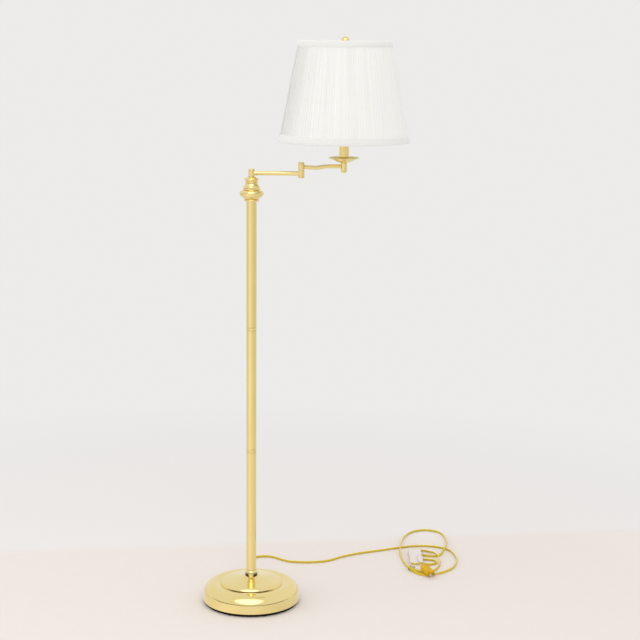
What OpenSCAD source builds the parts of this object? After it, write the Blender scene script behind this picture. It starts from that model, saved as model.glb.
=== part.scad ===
// Swing-arm floor lamp in polished brass with a knife-pleated shade.
// Millimetres, +Z up, the floor at z = 0 and the column on the Z axis, both arms out along +X.

/* [Base] */
// Diameter of the spun base shell
base_d = 251; // [246:1:256]
// Height of the seat in the middle of the shell
base_h = 71; // [69:1:73]
// Diameter of the cast weight under the shell
weight_d = 232; // [220:1:232]
// Thickness of the cast weight
weight_t = 12; // [8:1:14]

/* [Column] */
// Outside diameter of the column tubes
pole_d = 25.4; // [24.4:0.2:26]
// Height of the lower joint of the column
joint_1_z = 405; // [300:1:500]
// Height of the upper joint of the column
joint_2_z = 722; // [600:1:820]
// Height of the top end of the column tubes
pole_top_z = 1045; // [1000:1:1100]

/* [Arms] */
// Column axis to elbow axis
arm_1_len = 123.5; // [110:0.5:160]
// Elbow axis to candle axis
arm_2_len = 105.5; // [100:0.5:120]
// Outside diameter of the first arm tube
rod_1_d = 10.8; // [10:0.2:12]
// Outside diameter of the second arm tube
rod_2_d = 10; // [9:0.2:11]
// Outside diameter of the pivot knuckles
knuckle_d = 15.5; // [15:0.5:18]

/* [Light] */
// Diameter of the drip pan under the candle tube
pan_d = 78; // [70:1:90]
// Diameter of the fluted candle tube
candle_d = 24.2; // [23:0.2:26]
// Half the width of the harp between its two feet
harp_foot = 27; // [25:1:30]
// Diameter of the ball of the finial
finial_d = 21.5; // [18:0.5:25]

/* [Shade] */
// Diameter of the shade at its lower edge
shade_bottom_d = 326; // [310:1:340]
// Diameter of the shade at its upper edge
shade_top_d = 231; // [220:1:240]
// Height of the shade
shade_h = 246; // [244:1:248]
// Number of knife pleats round the shade
pleats = 132; // [90:6:150]
// Depth of a pleat
pleat_depth = 2.4; // [1.5:0.1:3]

/* [Cord] */
// Width of the flat lamp cord
cord_d = 5.5; // [5:0.1:6]

/* [Hidden] */
$fn = 64;

brass = "#d9b85c";
dark_iron = "#2b2927";
off_white = "#f0efe9";
cord_gold = "#c9a227";

// Base, from the floor up
base_r = base_d / 2;
foot_h = 4;
foot_ring_r = 104;
foot_ring_w = 12;
pad_r = 7.5;
pad_count = 8;
pad_turn = 19.5;
weight_top = foot_h + weight_t;
hub_r = 17;
shell_t = 1.5;
rim_z = 8;
rim_lip = 2.5;
shoulder_r = 27.5;
shoulder_z = base_h - 45.5;
wall_lean = 1.8;
step_r = 12;
step_at = 68;
step_z = base_h - 23;
seat_r = 17;
nut_across = 19;
well_r = 14;
well_z = 10.5;
washer_h = 1.2;

// Threaded lamp pipe that holds the stacks together
pipe_r = 5;
pipe_bore = 3.5;
pipe_gap = 0.05;
nipple_z0 = 5.5;
nut_h = well_z - washer_h - nipple_z0;
nipple_top = base_h + 27;

// Column
pole_r = pole_d / 2;
pole_wall = 1;
spigot_r = pole_r - pole_wall;
neck_h = 18;
neck_top = base_h + neck_h;
spigot_len = 22;
band_h = 9;
band_r = pole_r + 0.15;
band_edge = 0.6;
wire_r = 2.4;

// Vase cap on top of the column
seat_h = 5.5;
bowl_z0 = pole_top_z + seat_h;
bowl_h = 23;
bowl_r = 30;
bell_z0 = bowl_z0 + bowl_h;
bell_h = 23.5;
plate_z0 = bell_z0 + bell_h;
plate_h = 9;
plate_r = 18.6;
cap_wall = 1.5;
swivel_z0 = plate_z0 + plate_h;

// Arms
knuckle_r = knuckle_d / 2;
cap_r = knuckle_r - 0.1;
washer_t = 0.5;
swivel_gap = 0.04;
arm_1_z = swivel_z0 + 9.3;
knuckle_1_z0 = swivel_z0 + washer_t;
knuckle_1_z1 = swivel_z0 + 16;
stud_top = knuckle_1_z1 + 2;
rod_wall = 1.2;
elbow_stud_r = 4;
elbow_stud_bore = 2.4;
elbow_z0 = arm_1_z - 8.1;
elbow_mid = arm_1_z + 9.3;
elbow_washer_t = 0.8;
elbow_z1 = elbow_mid + elbow_washer_t + 14.7;
cap_h = 3.4;
rod_2_z = arm_1_z + 16.3;
dip_angle = 3;
rise_angle = 11.5;
dip_straight = 32;
dip_bend = 60;
rise_straight = 5;
rise_bend = 80;
end_x = arm_1_len + arm_2_len;
rod_2_end_z = rod_2_z - dip_straight * sin(dip_angle)
    + dip_bend * (cos(dip_angle) - cos(rise_angle))
    + rise_straight * sin(rise_angle) + rise_bend * (1 - cos(rise_angle));
rod_2_tail = arm_2_len - dip_straight * cos(dip_angle)
    - dip_bend * (sin(dip_angle) + sin(rise_angle))
    - rise_straight * cos(rise_angle) - rise_bend * sin(rise_angle);
end_knuckle_z0 = rod_2_end_z - 11;
end_knuckle_z1 = rod_2_end_z + 10;

// Candle, socket and harp, from the end knuckle up
pan_r = pan_d / 2;
pan_t = 1.2;
pan_rise = 11.5;
pan_seat_r = 13.4;
pan_z0 = end_knuckle_z1;
candle_z0 = pan_z0 + pan_t;
candle_h = 46;
candle_r = candle_d / 2;
candle_wall = 1.4;
flutes = 24;
saddle_z0 = candle_z0 + candle_h;
saddle_t = 2;
saddle_w = 12;
socket_z0 = saddle_z0 + saddle_t;
socket_cap_h = 15;
socket_r = 17;
socket_wall = 0.8;
socket_shell_z0 = socket_z0 + socket_cap_h;
socket_shell_h = 44;
core_z0 = socket_z0 + 9;
core_z1 = socket_z0 + 30;
core_r = 15.4;
socket_nipple_top = socket_z0 + 8;
screw_r = 14;
switch_z = socket_z0 + 21;
switch_shaft_r = 1.5;
switch_shaft_in = 9;
knob_in = 22;
knob_out = 36;
bulb_z0 = core_z1;
bulb_base_h = 26;
bulb_r = 30;
bulb_h = 84;
foot_pin_r = 2.5;
post_top = saddle_z0 + 12;
foot_top = post_top + 13;
ferrule_h = 14;
ferrule_z0 = saddle_z0 + 10;
harp_wire_r = 1.7;
harp_leg = 8;
harp_flare = 35;
harp_top_turn = 84;
harp_low_bend = 40;
harp_low_straight = 22;
harp_mid_bend = 60;
harp_top_bend = 50;

// Shade
shade_z0 = socket_z0 + 2;
shade_z1 = shade_z0 + shade_h;
spider_drop = 14.5;
washer_top = shade_z1 - spider_drop;
hub_washer_t = 1.5;
hub_washer_r = 9;
boss_r = 6;
boss_h = 4;
boss_z0 = washer_top - hub_washer_t - boss_h;
thread_r = 3.175;
thread_len = 15;
frame_r = 1.5;
trim_t = 1.2;
band_inset = 2.74;
liner_t = 1;
pleat_floor = 0.6;
liner_gap = trim_t + pleat_depth + pleat_floor;
top_trim_h = 15;
bottom_trim_h = 18;
cloth_z0 = shade_z0 + 2 * frame_r;
cloth_z1 = shade_z1 - 2 * frame_r;

// Cord: it leaves the back of the shell, lies on the floor and ends in a hank and its plug
cord_r = cord_d / 2;
exit_z = 16;
exit_y = 150;
lie = 2.8;
over = 8.7;
cord_route = [[0, exit_y, exit_z], [0, 182, 12.5], [0, 216, 5], [-1, 254, lie],
    [-3, 295, lie], [3, 328, lie], [23, 345, lie], [49, 330, lie], [78, 308, lie],
    [112, 296, lie], [155, 295, lie], [200, 309, lie], [240, 344, lie], [286, 374, lie],
    [346, 401, lie], [407, 429, lie], [447, 443, lie], [488, 445, lie], [523, 434, lie],
    [549, 410, lie], [562, 363, lie], [563, 313, lie], [547, 258, lie], [521, 225, lie],
    [493, 206, lie], [467, 200, lie], [445, 212, lie], [429, 242, lie], [416, 288, lie],
    [408, 348, lie], [407, 396, 6], [410, 431, over], [414, 467, 6], [425, 523, lie],
    [449, 570, lie], [485, 592, lie], [523, 581, lie], [543, 543, lie], [547, 485, lie],
    [544, 454, 6], [540, 422, over], [528, 385, 6], [510, 352, lie]];
bend_step = 7;
steps_per_span = 2;
tube_sides = 8;
hank_x = 475;
hank_near = 273;
hank_far = 368;
hank_r = 36;
hank_h = 17;
plug_tail = [460, 240, 16.6];
plug_turn = -68;
plug_tilt = 5.2;
plug_l = 56;
plug_w = 24;
plug_t = 14;
prong_l = 16;

// Points of an arc round c, from angle a0 to angle a1
function arc(c, r, a0, a1, n = 12) =
    [for (i = [0:n]) let (a = a0 + (a1 - a0) * i / n) [c.x + r * cos(a), c.y + r * sin(a)]];

// Radius of the outer face of the shade at height z
function shade_r(z) =
    (shade_bottom_d + (shade_top_d - shade_bottom_d) * (z - shade_z0) / shade_h) / 2;

// One point of the smooth curve through four route points
function curve_point(a, b, c, d, t) =
    0.5 * (2 * b + (c - a) * t + (2 * a - 5 * b + 4 * c - d) * t * t
    + (3 * b - a - 3 * c + d) * t * t * t);

function smooth_route(p, steps) = let (n = len(p) - 1)
    [for (i = [0:n - 1]) for (k = [0:steps - 1])
        curve_point(p[max(i - 1, 0)], p[i], p[i + 1], p[min(i + 2, n)], k / steps), p[n]];

function unit(v) = v / norm(v);

// Ring of points round point i of a path that never runs along the direction ref
function tube_ring(p, i, r, sides, ref) =
    let (ahead = unit(p[min(i + 1, len(p) - 1)] - p[max(i - 1, 0)]),
        side = unit(cross(ahead, ref)),
        up = cross(side, ahead))
    [for (k = [0:sides - 1]) let (a = 360 * k / sides) p[i] + r * (side * cos(a) + up * sin(a))];

// Points of a bent rod in the XZ plane, as steps of [straight, bend radius, bend angle],
// with the heading measured from +Z towards +X
function walk(steps, at, heading, i = 0) = i == len(steps) ? [] :
    let (bend = steps[i][1], angle = steps[i][2],
        corner = at + steps[i][0] * [sin(heading), cos(heading)],
        hand = sign(angle) * bend,
        centre = corner + hand * [cos(heading), -sin(heading)],
        pieces = ceil(abs(angle) / bend_step),
        turn = [for (k = [1:1:pieces]) let (h = heading + angle * k / pieces)
            centre - hand * [cos(h), -sin(h)]])
    concat([corner], turn, walk(steps, pieces > 0 ? turn[pieces - 1] : corner,
        heading + angle, i + 1));

function bent_path(steps, start, heading) =
    [for (q = concat([start], walk(steps, start, heading))) [q.x, 0, q.y]];

module tube_along(p, r, sides, ref = [0, 0, 1]) {
    n = len(p);
    polyhedron(
        points = [for (i = [0:n - 1]) each tube_ring(p, i, r, sides, ref)],
        faces = [
            [for (k = [sides - 1:-1:0]) k],
            for (i = [0:n - 2]) for (k = [0:sides - 1])
                [i * sides + k, i * sides + (k + 1) % sides,
                    (i + 1) * sides + (k + 1) % sides, (i + 1) * sides + k],
            [for (k = [0:sides - 1]) (n - 1) * sides + k]],
        convexity = 10);
}

module turned(profile) rotate_extrude($fn = 96) polygon(profile);

module ring(r_out, r_in, z0, z1) translate([0, 0, z0]) difference() {
    cylinder(r = r_out, h = z1 - z0);
    translate([0, 0, -1]) cylinder(r = r_in, h = z1 - z0 + 2);
}

// ---- Base ----

// Rubber ring with eight pads that stand out from it
module floor_ring() color(dark_iron) linear_extrude(foot_h) difference() {
    union() {
        circle(r = foot_ring_r);
        for (i = [0:pad_count - 1]) rotate(pad_turn + i * 360 / pad_count)
            translate([foot_ring_r + 4, 0]) circle(r = pad_r);
    }
    circle(r = foot_ring_r - foot_ring_w);
}

// Cast disc with a hub that carries the shell, an opening for the wire and a well for the nut
module base_weight() color(dark_iron) difference() {
    turned([[pipe_r + pipe_gap, well_z], [pipe_r + pipe_gap, base_h - shell_t],
        [hub_r - 4, base_h - shell_t], [hub_r - 4, base_h - 8], [hub_r, weight_top + 6],
        [hub_r + 8, weight_top], [weight_d / 2 - 2, weight_top], [weight_d / 2, weight_top - 2],
        [weight_d / 2, foot_h + 1.5], [weight_d / 2 - 1.5, foot_h], [well_r, foot_h],
        [well_r, well_z]]);
    translate([-4, 0, 21]) cube([8, 26, 8]);
}

// Height of the hollow flank between the step and the seat
function flank_z(r, rim_r, rim_h) = let (lean = 0.158, run = (rim_r - r) / (rim_r - seat_r))
    rim_h + lean * (rim_r - r) + (base_h - rim_h - lean * (rim_r - seat_r)) * pow(run, 5);

// Spun shell: leaning wall, round shoulder, a rounded step and a flank that rises to the seat
module base_shell() {
    centre = [base_r - wall_lean - shoulder_r, shoulder_z];
    rim_r = step_at + step_r * cos(81);
    rim_h = step_z + step_r * sin(81);
    flank = [for (i = [0:14]) let (r = rim_r + (seat_r - rim_r) * i / 14)
        [r, flank_z(r, rim_r, rim_h)]];
    outer = concat([[base_r, rim_z + 1], [base_r - 0.2, rim_z + 2]],
        arc(centre, shoulder_r, 0, 83, 16), [[step_at + step_r + 3, step_z + 3]],
        arc([step_at, step_z], step_r, 10, 78, 10), flank,
        [[seat_r - 0.4, base_h], [pipe_r + pipe_gap, base_h]]);
    inner = concat([[pipe_r + pipe_gap, base_h - shell_t], [seat_r - 1, base_h - shell_t]],
        [for (i = [13:-1:0]) flank[i] - [0.2, shell_t]],
        arc([step_at - 0.6, step_z], step_r - shell_t, 70, 20, 5),
        [[step_at + step_r - 1.6, step_z + 0.5], [step_at + step_r + 2.9, step_z + 1.4]],
        arc(centre, shoulder_r - shell_t, 83, 0, 16),
        [[base_r - shell_t, rim_z + 1.5], [base_r - rim_lip, rim_z + 1.3],
        [base_r - rim_lip, rim_z], [base_r - 0.6, rim_z]]);
    color(brass) difference() {
        turned(concat(outer, inner));
        translate([0, base_r - 12, exit_z]) rotate([-90, 0, 0]) cylinder(r = 5, h = 20);
    }
}

module base_nipple() color(brass) difference() {
    ring(pipe_r, pipe_bore, nipple_z0, nipple_top);
    translate([-3, 0, 22]) cube([6, 8, 12]);
}

// Washer and hexagon nut in the well of the weight
module base_nut() color("silver") {
    ring(12, pipe_r + pipe_gap, well_z - washer_h, well_z);
    difference() {
        translate([0, 0, nipple_z0]) cylinder(d = nut_across / cos(30), h = nut_h, $fn = 6);
        cylinder(r = pipe_r + pipe_gap, h = 20);
    }
}

// Turned neck: a rounded shoulder under a plain collar, with a spigot up into the column
module base_neck() color(brass) turned(concat(
    [[pipe_r + pipe_gap, base_h], [15.6, base_h], [15.9, base_h + 0.5]],
    arc([-8.1, base_h + 2.5], 24, 0, 28, 12),
    [[pole_r + 0.2, neck_top - 3], [pole_r + 0.2, neck_top], [spigot_r, neck_top],
    [spigot_r, neck_top + spigot_len], [pipe_r + pipe_gap, neck_top + spigot_len]]));

// ---- Column ----

module pole_tube(z0, z1) color(brass) ring(pole_r, spigot_r, z0, z1);

module pole_lower() pole_tube(neck_top, joint_1_z - band_h / 2);

module pole_middle() pole_tube(joint_1_z + band_h / 2, joint_2_z - band_h / 2);

module pole_upper() pole_tube(joint_2_z + band_h / 2, pole_top_z);

// Joint of two tubes: a bevelled band that shows, with a spigot into either tube
module pole_coupling(z) color(brass) translate([0, 0, z]) turned([
    [6, -spigot_len], [spigot_r, -spigot_len], [spigot_r, -band_h / 2],
    [pole_r - band_edge, -band_h / 2], [band_r, -band_h / 2 + band_edge],
    [band_r, band_h / 2 - band_edge], [pole_r - band_edge, band_h / 2],
    [spigot_r, band_h / 2], [spigot_r, spigot_len], [6, spigot_len]]);

module pole_coupling_lower() pole_coupling(joint_1_z);

module pole_coupling_upper() pole_coupling(joint_2_z);

// ---- Vase cap ----

module cap_seat_ring() color(brass) turned(concat(
    [[pipe_r, pole_top_z - spigot_len], [spigot_r, pole_top_z - spigot_len],
    [spigot_r, pole_top_z], [pole_r + 2, pole_top_z]],
    arc([16.6, pole_top_z + 2.8], 2.7, -75, 75, 8), [[15, bowl_z0], [pipe_r, bowl_z0]]));

// Spun bowl, widest above its middle, open inside
module cap_bowl() color(brass) difference() {
    translate([0, 0, bowl_z0]) turned(concat([[pipe_r, 0], [17.6, 0], [19.4, 1.2]],
        arc([bowl_r - 11.6, 15.4], 11.6, -62, -6, 10), arc([bowl_r - 7.2, 15.4], 7.2, 0, 72, 8),
        [[21.5, bowl_h], [pipe_r, bowl_h]]));
    translate([0, 0, bowl_z0]) turned(concat([[pipe_r + 3, cap_wall], [17, cap_wall]],
        arc([bowl_r - 12.4, 15], 10.6, -50, 0, 6), arc([bowl_r - 7.8, 15], 6, 10, 66, 5),
        [[20, bowl_h - cap_wall], [pipe_r + 3, bowl_h - cap_wall]]));
}

// Bell: a flared skirt under a beaded neck
module cap_bell() color(brass) translate([0, 0, bell_z0]) turned(concat(
    [[pipe_r, 0], [19.8, 0], [21.2, 0.8], [21.4, 2.2], [21.4, 4.8]],
    arc([28.9, 18.6], 13, -128, -178, 10), arc([14.3, 20], 1.5, -50, 60, 6),
    [[14.6, 22], [14.6, bell_h], [pipe_r, bell_h]]));

module cap_top_plate() color(brass) translate([0, 0, plate_z0]) turned(concat(
    [[pipe_r, 0], [15.4, 0]], arc([plate_r - 2.6, 3], 2.6, -60, 65, 8),
    [[plate_r - 4, 6.6], [pipe_r + 7.2, 8], [pipe_r + 4.6, plate_h], [pipe_r, plate_h]]));

// Two-core wire from the cord bushing over the weight, up the column and into the swivel
module column_wire() color(cord_gold) tube_along([[0, 119.5, exit_z], [0, 117.5, exit_z], [0, 109, 20],
    [0, 96, 23], [0, 60, 25], [0, 14, 25], [0, 5, 26.5], [0, 1, 31], [0, 0, 38], [0, 0, 520],
    [0, 0, arm_1_z]], wire_r, tube_sides, [1, 0, 0]);

// ---- Column swivel and first arm ----

// Hollow stud that the arm turns on, cut away all round but a web for the wire to swing
module swivel_stud() color(brass) difference() {
    ring(pipe_r, pipe_bore, pole_top_z - spigot_len, stud_top);
    translate([0, 0, arm_1_z - 3]) rotate([0, 0, -150])
        rotate_extrude(angle = 300) translate([pipe_bore - 1, 0]) square([4, 6]);
}

module swivel_washer() color("silver")
    ring(knuckle_r + 0.6, pipe_r + swivel_gap, swivel_z0, knuckle_1_z0);

// Domed cap screwed on a stud, with its open end down
module dome_cap(bore_r, bore_depth, height, tip) turned(concat([[0, bore_depth],
    [bore_r, bore_depth], [bore_r, 0], [cap_r, 0], [cap_r, height - 1.6]],
    arc([cap_r - 1.6, height - 1.6], 1.6, 20, 90, 5), [[1.4, height], [1, height + tip],
    [0, height + tip]]));

module pivot_cap() color(brass) translate([0, 0, knuckle_1_z1])
    dome_cap(pipe_r, stud_top - knuckle_1_z1, 4, 0.4);

// Knuckle with the bore of its stud and a side hole for the wire
module knuckle(z0, z1, bore_r, hole_z, hole_turn) difference() {
    turned([[bore_r, z0], [knuckle_r - 0.5, z0], [knuckle_r, z0 + 0.5], [knuckle_r, z1 - 0.5],
        [knuckle_r - 0.5, z1], [bore_r, z1]]);
    translate([0, 0, hole_z]) rotate([0, 90, hole_turn]) cylinder(r = 3, h = knuckle_r + 2);
}

module arm_1_knuckle() color(brass)
    knuckle(knuckle_1_z0, knuckle_1_z1, pipe_r + swivel_gap, arm_1_z, 0);

// Straight tube, coped at both ends to the knuckles it is brazed to
module arm_1_rod() color(brass) difference() {
    translate([0, 0, arm_1_z]) rotate([0, 90, 0]) cylinder(d = rod_1_d, h = arm_1_len);
    translate([-1, 0, arm_1_z]) rotate([0, 90, 0])
        cylinder(d = rod_1_d - 2 * rod_wall, h = arm_1_len + 2);
    for (x = [0, arm_1_len]) translate([x, 0, knuckle_1_z0 - 5]) cylinder(r = knuckle_r, h = 30);
}

module arm_1_wire() color(cord_gold) translate([knuckle_r, 0, arm_1_z]) rotate([0, 90, 0])
    cylinder(r = wire_r, h = arm_1_len - 2 * knuckle_r);

// ---- Elbow ----

module elbow_lower_knuckle() color(brass) translate([arm_1_len, 0, 0])
    knuckle(elbow_z0, elbow_mid, elbow_stud_r, arm_1_z, 180);

module elbow_lower_cap() color(brass) translate([arm_1_len, 0, elbow_z0]) mirror([0, 0, 1])
    dome_cap(elbow_stud_r, 1.6, cap_h, 0);

module elbow_stud() color("silver") translate([arm_1_len, 0, 0])
    ring(elbow_stud_r, elbow_stud_bore, elbow_z0 - 1.6, elbow_z1 + 1.6);

module elbow_washer() color("ivory") translate([arm_1_len, 0, 0])
    ring(knuckle_r - 0.4, elbow_stud_r + swivel_gap, elbow_mid, elbow_mid + elbow_washer_t);

module elbow_upper_cap() color(brass) translate([arm_1_len, 0, elbow_z1])
    dome_cap(elbow_stud_r, 1.6, cap_h, 0);

module elbow_upper_knuckle() color(brass) translate([arm_1_len, 0, 0])
    knuckle(elbow_mid + elbow_washer_t, elbow_z1, elbow_stud_r + swivel_gap, rod_2_z, 0);

// ---- Second arm ----

// The rod dips, sweeps up in an S and runs level into the end knuckle
arm_2_path = bent_path([
    [dip_straight, dip_bend, -(dip_angle + rise_angle)],
    [rise_straight, rise_bend, rise_angle],
    [rod_2_tail, 0, 0]], [arm_1_len, rod_2_z], 90 + dip_angle);

// Room of the two knuckles that the rod is brazed to
module arm_2_ends() {
    translate([arm_1_len, 0, elbow_mid]) cylinder(r = knuckle_r, h = 30);
    translate([end_x, 0, end_knuckle_z0 - 5]) cylinder(r = knuckle_r, h = 40);
}

module arm_2_rod() color(brass) difference() {
    tube_along(arm_2_path, rod_2_d / 2, 24, [0, 1, 0]);
    tube_along(arm_2_path, rod_2_d / 2 - rod_wall, 12, [0, 1, 0]);
    arm_2_ends();
}

module arm_2_wire() color(cord_gold) difference() {
    tube_along(arm_2_path, wire_r, tube_sides, [0, 1, 0]);
    arm_2_ends();
}

module end_knuckle() color(brass) translate([end_x, 0, 0])
    knuckle(end_knuckle_z0, end_knuckle_z1, pipe_r, rod_2_end_z, 180);

module end_cap() color(brass) translate([end_x, 0, end_knuckle_z0]) mirror([0, 0, 1])
    turned(concat([[0, -4], [pipe_r, -4], [pipe_r, 0], [cap_r, 0], [cap_r, 1], [6.4, 2]],
    arc([3.4, 2], 2.8, 0, 90, 8), [[0, 4.8]]));

// ---- Candle and socket ----

module socket_nipple() color("silver") translate([end_x, 0, 0])
    ring(pipe_r, pipe_bore, end_knuckle_z1 - 14, socket_nipple_top);

// Spun pan: flat seat, conical flank and a rolled rim
module drip_pan() color(brass) translate([end_x, 0, pan_z0]) turned(concat(
    [[pipe_r, 0], [pan_seat_r, 0], [pan_r - 6, pan_rise - 2.8], [pan_r - 2, pan_rise - 1]],
    arc([pan_r - 1.1, pan_rise - 0.2], 1.1, -60, 150, 8),
    [[pan_r - 6.5, pan_rise - 1.3], [pan_seat_r - 0.3, pan_t], [pipe_r, pan_t]]));

// Candle tube, fluted all round
module candle_tube() color(brass) translate([end_x, 0, candle_z0]) linear_extrude(candle_h)
    difference() {
        circle(r = candle_r);
        circle(r = candle_r - candle_wall);
        for (i = [0:flutes - 1]) rotate(i * 360 / flutes)
            translate([candle_r + 0.35, 0]) circle(r = 0.9, $fn = 16);
    }

// Saddle: a strap across the candle tube with a shouldered pin at each end for the harp
module harp_saddle() color(brass) translate([end_x, 0, saddle_z0]) difference() {
    union() {
        translate([-harp_foot, -saddle_w / 2, 0]) cube([2 * harp_foot, saddle_w, saddle_t]);
        for (s = [-1, 1]) translate([s * harp_foot, 0, 0]) {
            cylinder(r = saddle_w / 2, h = saddle_t);
            cylinder(r = foot_pin_r + 0.9, h = ferrule_z0 - saddle_z0);
            cylinder(r = foot_pin_r, h = post_top - saddle_z0);
        }
    }
    translate([0, 0, -1]) cylinder(r = pipe_r, h = saddle_t + 2);
}

module socket_cap() color(brass) translate([end_x, 0, socket_z0]) turned([[pipe_r, 0], [8, 0],
    [8, 3], [9.5, 4.4], [15.6, 7.6], [socket_r, 9.6], [socket_r, socket_cap_h],
    [socket_r - socket_wall, socket_cap_h], [socket_r - socket_wall, 9], [pipe_r, 9]]);

module switch_hole(r) translate([end_x, 0, switch_z]) rotate([90, 0, 0])
    translate([0, 0, switch_shaft_in - 1]) cylinder(r = r, h = 12);

module socket_core() color("#3a2a20") difference() {
    translate([end_x, 0, core_z0]) cylinder(r = core_r, h = core_z1 - core_z0);
    switch_hole(switch_shaft_r + swivel_gap);
}

module socket_screw_shell() color("goldenrod") translate([end_x, 0, 0])
    ring(screw_r, screw_r - 0.5, core_z1, core_z1 + bulb_base_h);

module socket_insulator() color("tan") difference() {
    translate([end_x, 0, 0])
        ring(socket_r - socket_wall, core_r, core_z0, socket_shell_z0 + socket_shell_h - 2);
    switch_hole(3);
}

module socket_shell() color(brass) difference() {
    translate([end_x, 0, socket_shell_z0]) turned([[socket_r - socket_wall, 0], [socket_r, 0],
        [socket_r, 14], [socket_r + 0.7, 15], [socket_r, 16], [socket_r, socket_shell_h - 5],
        [socket_r + 0.7, socket_shell_h - 4], [socket_r, socket_shell_h - 3],
        [socket_r, socket_shell_h], [socket_r - socket_wall, socket_shell_h]]);
    switch_hole(3);
}

module switch_bushing() color("silver") translate([end_x, 0, switch_z]) rotate([90, 0, 0]) {
    ring(3, switch_shaft_r + swivel_gap, core_r, socket_r);
    ring(4.2, switch_shaft_r + swivel_gap, socket_r, knob_in - 0.4);
}

// Turn knob with a ribbed grip on its shaft
module switch_knob() color("#2c211a") translate([end_x, 0, switch_z]) rotate([90, 0, 0]) {
    translate([0, 0, switch_shaft_in]) cylinder(r = switch_shaft_r, h = 20);
    translate([0, 0, knob_in]) difference() {
        turned([[0, 0], [4, 0], [5.5, 3], [5.5, knob_out - knob_in - 0.8],
            [4.7, knob_out - knob_in], [0, knob_out - knob_in]]);
        for (i = [0:11]) rotate([0, 0, i * 30]) translate([5.9, 0, -1])
            cylinder(r = 0.9, h = 20, $fn = 16);
    }
}

module bulb_base() color("silver") translate([end_x, 0, bulb_z0]) turned(concat(
    [[0, 0], [4, 0], [8, 3]],
    [for (i = [0:4], p = [[12.9, 5 + i * 4], [13.3, 7 + i * 4]]) p],
    [[12.9, bulb_base_h], [0, bulb_base_h]]));

module bulb_glass() color("white") translate([end_x, 0, bulb_z0 + bulb_base_h]) turned(concat(
    [[0, 0], [12.9, 0], [13.4, 6], [17, 20], [24, 34]],
    arc([0, bulb_h - bulb_r], bulb_r, -28, 90, 16)));

// ---- Harp ----

// Half of the bow, from a foot to the boss: up, out, upright and over the top
function harp_half() =
    let (rise_low = (harp_low_bend + harp_mid_bend) * sin(harp_flare)
            + harp_low_straight * cos(harp_flare),
        out = harp_foot + (harp_low_bend + harp_mid_bend) * (1 - cos(harp_flare))
            + harp_low_straight * sin(harp_flare),
        across = out - harp_top_bend * (1 - cos(harp_top_turn)),
        top_straight = across / sin(harp_top_turn),
        upright = boss_z0 + boss_h / 2 - foot_top - harp_leg - rise_low
            - harp_top_bend * sin(harp_top_turn) - top_straight * cos(harp_top_turn))
    bent_path([
        [harp_leg, harp_low_bend, harp_flare],
        [harp_low_straight, harp_mid_bend, -harp_flare],
        [upright, harp_top_bend, -harp_top_turn],
        [top_straight, 0, 0]], [harp_foot, foot_top], 0);

module harp() color(brass) translate([end_x, 0, 0]) {
    half = harp_half();
    tube_along(concat(half, [for (i = [len(half) - 2:-1:0]) [-half[i].x, 0, half[i].z]]),
        harp_wire_r, 12, [0, 1, 0]);
    for (s = [-1, 1]) translate([s * harp_foot, 0, post_top])
        cylinder(r = foot_pin_r, h = foot_top - post_top + 0.5);
    translate([0, 0, boss_z0]) cylinder(r = boss_r, h = boss_h);
    translate([0, 0, boss_z0]) cylinder(r = thread_r, h = boss_h + thread_len);
}

module harp_ferrule(side) color(brass) translate([end_x + side * harp_foot, 0, ferrule_z0])
    turned([[foot_pin_r + swivel_gap, 0], [3.6, 0], [3.9, 0.8], [3.5, 1.6],
    [3.5, ferrule_h - 0.8], [3.1, ferrule_h], [foot_pin_r + swivel_gap, ferrule_h]]);

module harp_ferrule_left() harp_ferrule(-1);

module harp_ferrule_right() harp_ferrule(1);

// Ball finial on a waisted foot, drilled for the harp's thread
module finial() color(brass) translate([end_x, 0, washer_top]) difference() {
    turned(concat([[0, 0], [6.2, 0], [6.4, 1.2], [4.6, 2.2], [4.3, 3.6]],
        arc([0, finial_d / 2 + 3.4], finial_d / 2, -64, 82, 18),
        [[1.2, finial_d + 4], [0, finial_d + 4.4]]));
    translate([0, 0, -1]) cylinder(r = thread_r, h = thread_len + 1);
}

// ---- Shade ----

// Top ring with three spokes down to the washer that sits on the harp
module shade_spider() color(brass) translate([end_x, 0, 0]) {
    ring_r = shade_r(shade_z1 - frame_r) - band_inset;
    spoke_z = washer_top - hub_washer_t / 2;
    reach = ring_r - hub_washer_r + 2;
    climb = shade_z1 - frame_r - spoke_z;
    translate([0, 0, shade_z1 - frame_r]) rotate_extrude($fn = 96) translate([ring_r, 0])
        circle(r = frame_r, $fn = 24);
    difference() {
        union() {
            translate([0, 0, washer_top - hub_washer_t]) cylinder(r = hub_washer_r, h = hub_washer_t);
            for (a = [30, 150, 270]) rotate([0, 0, a]) translate([hub_washer_r - 2, 0, spoke_z])
                rotate([0, atan2(reach, climb), 0]) cylinder(r = frame_r, h = norm([reach, climb]));
        }
        translate([0, 0, washer_top - 10]) cylinder(r = thread_r + swivel_gap, h = 20);
    }
}

module shade_bottom_ring() color("silver") translate([end_x, 0, shade_z0 + frame_r])
    rotate_extrude($fn = 96) translate([shade_r(shade_z0 + frame_r) - band_inset, 0])
    circle(r = frame_r, $fn = 24);

// Conical band of the shade, between two depths below its outer face
module cone_band(z0, z1, depth_out, depth_in) translate([end_x, 0, 0]) turned([
    [shade_r(z0) - depth_in, z0], [shade_r(z0) - depth_out, z0],
    [shade_r(z1) - depth_out, z1], [shade_r(z1) - depth_in, z1]]);

module shade_liner() color(off_white)
    cone_band(cloth_z0, cloth_z1, liner_gap, liner_gap + liner_t);

// Ring of the pleated cloth at height z: each pleat rises slowly and folds back sharply
function pleat_ring(z) = let (crest = shade_r(z) - trim_t, step = 360 / pleats)
    [for (i = [0:pleats - 1], k = [0, 1])
        let (a = (i + 0.72 * k) * step, r = k == 1 ? crest : crest - pleat_depth)
        [r * cos(a), r * sin(a), z]];

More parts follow.
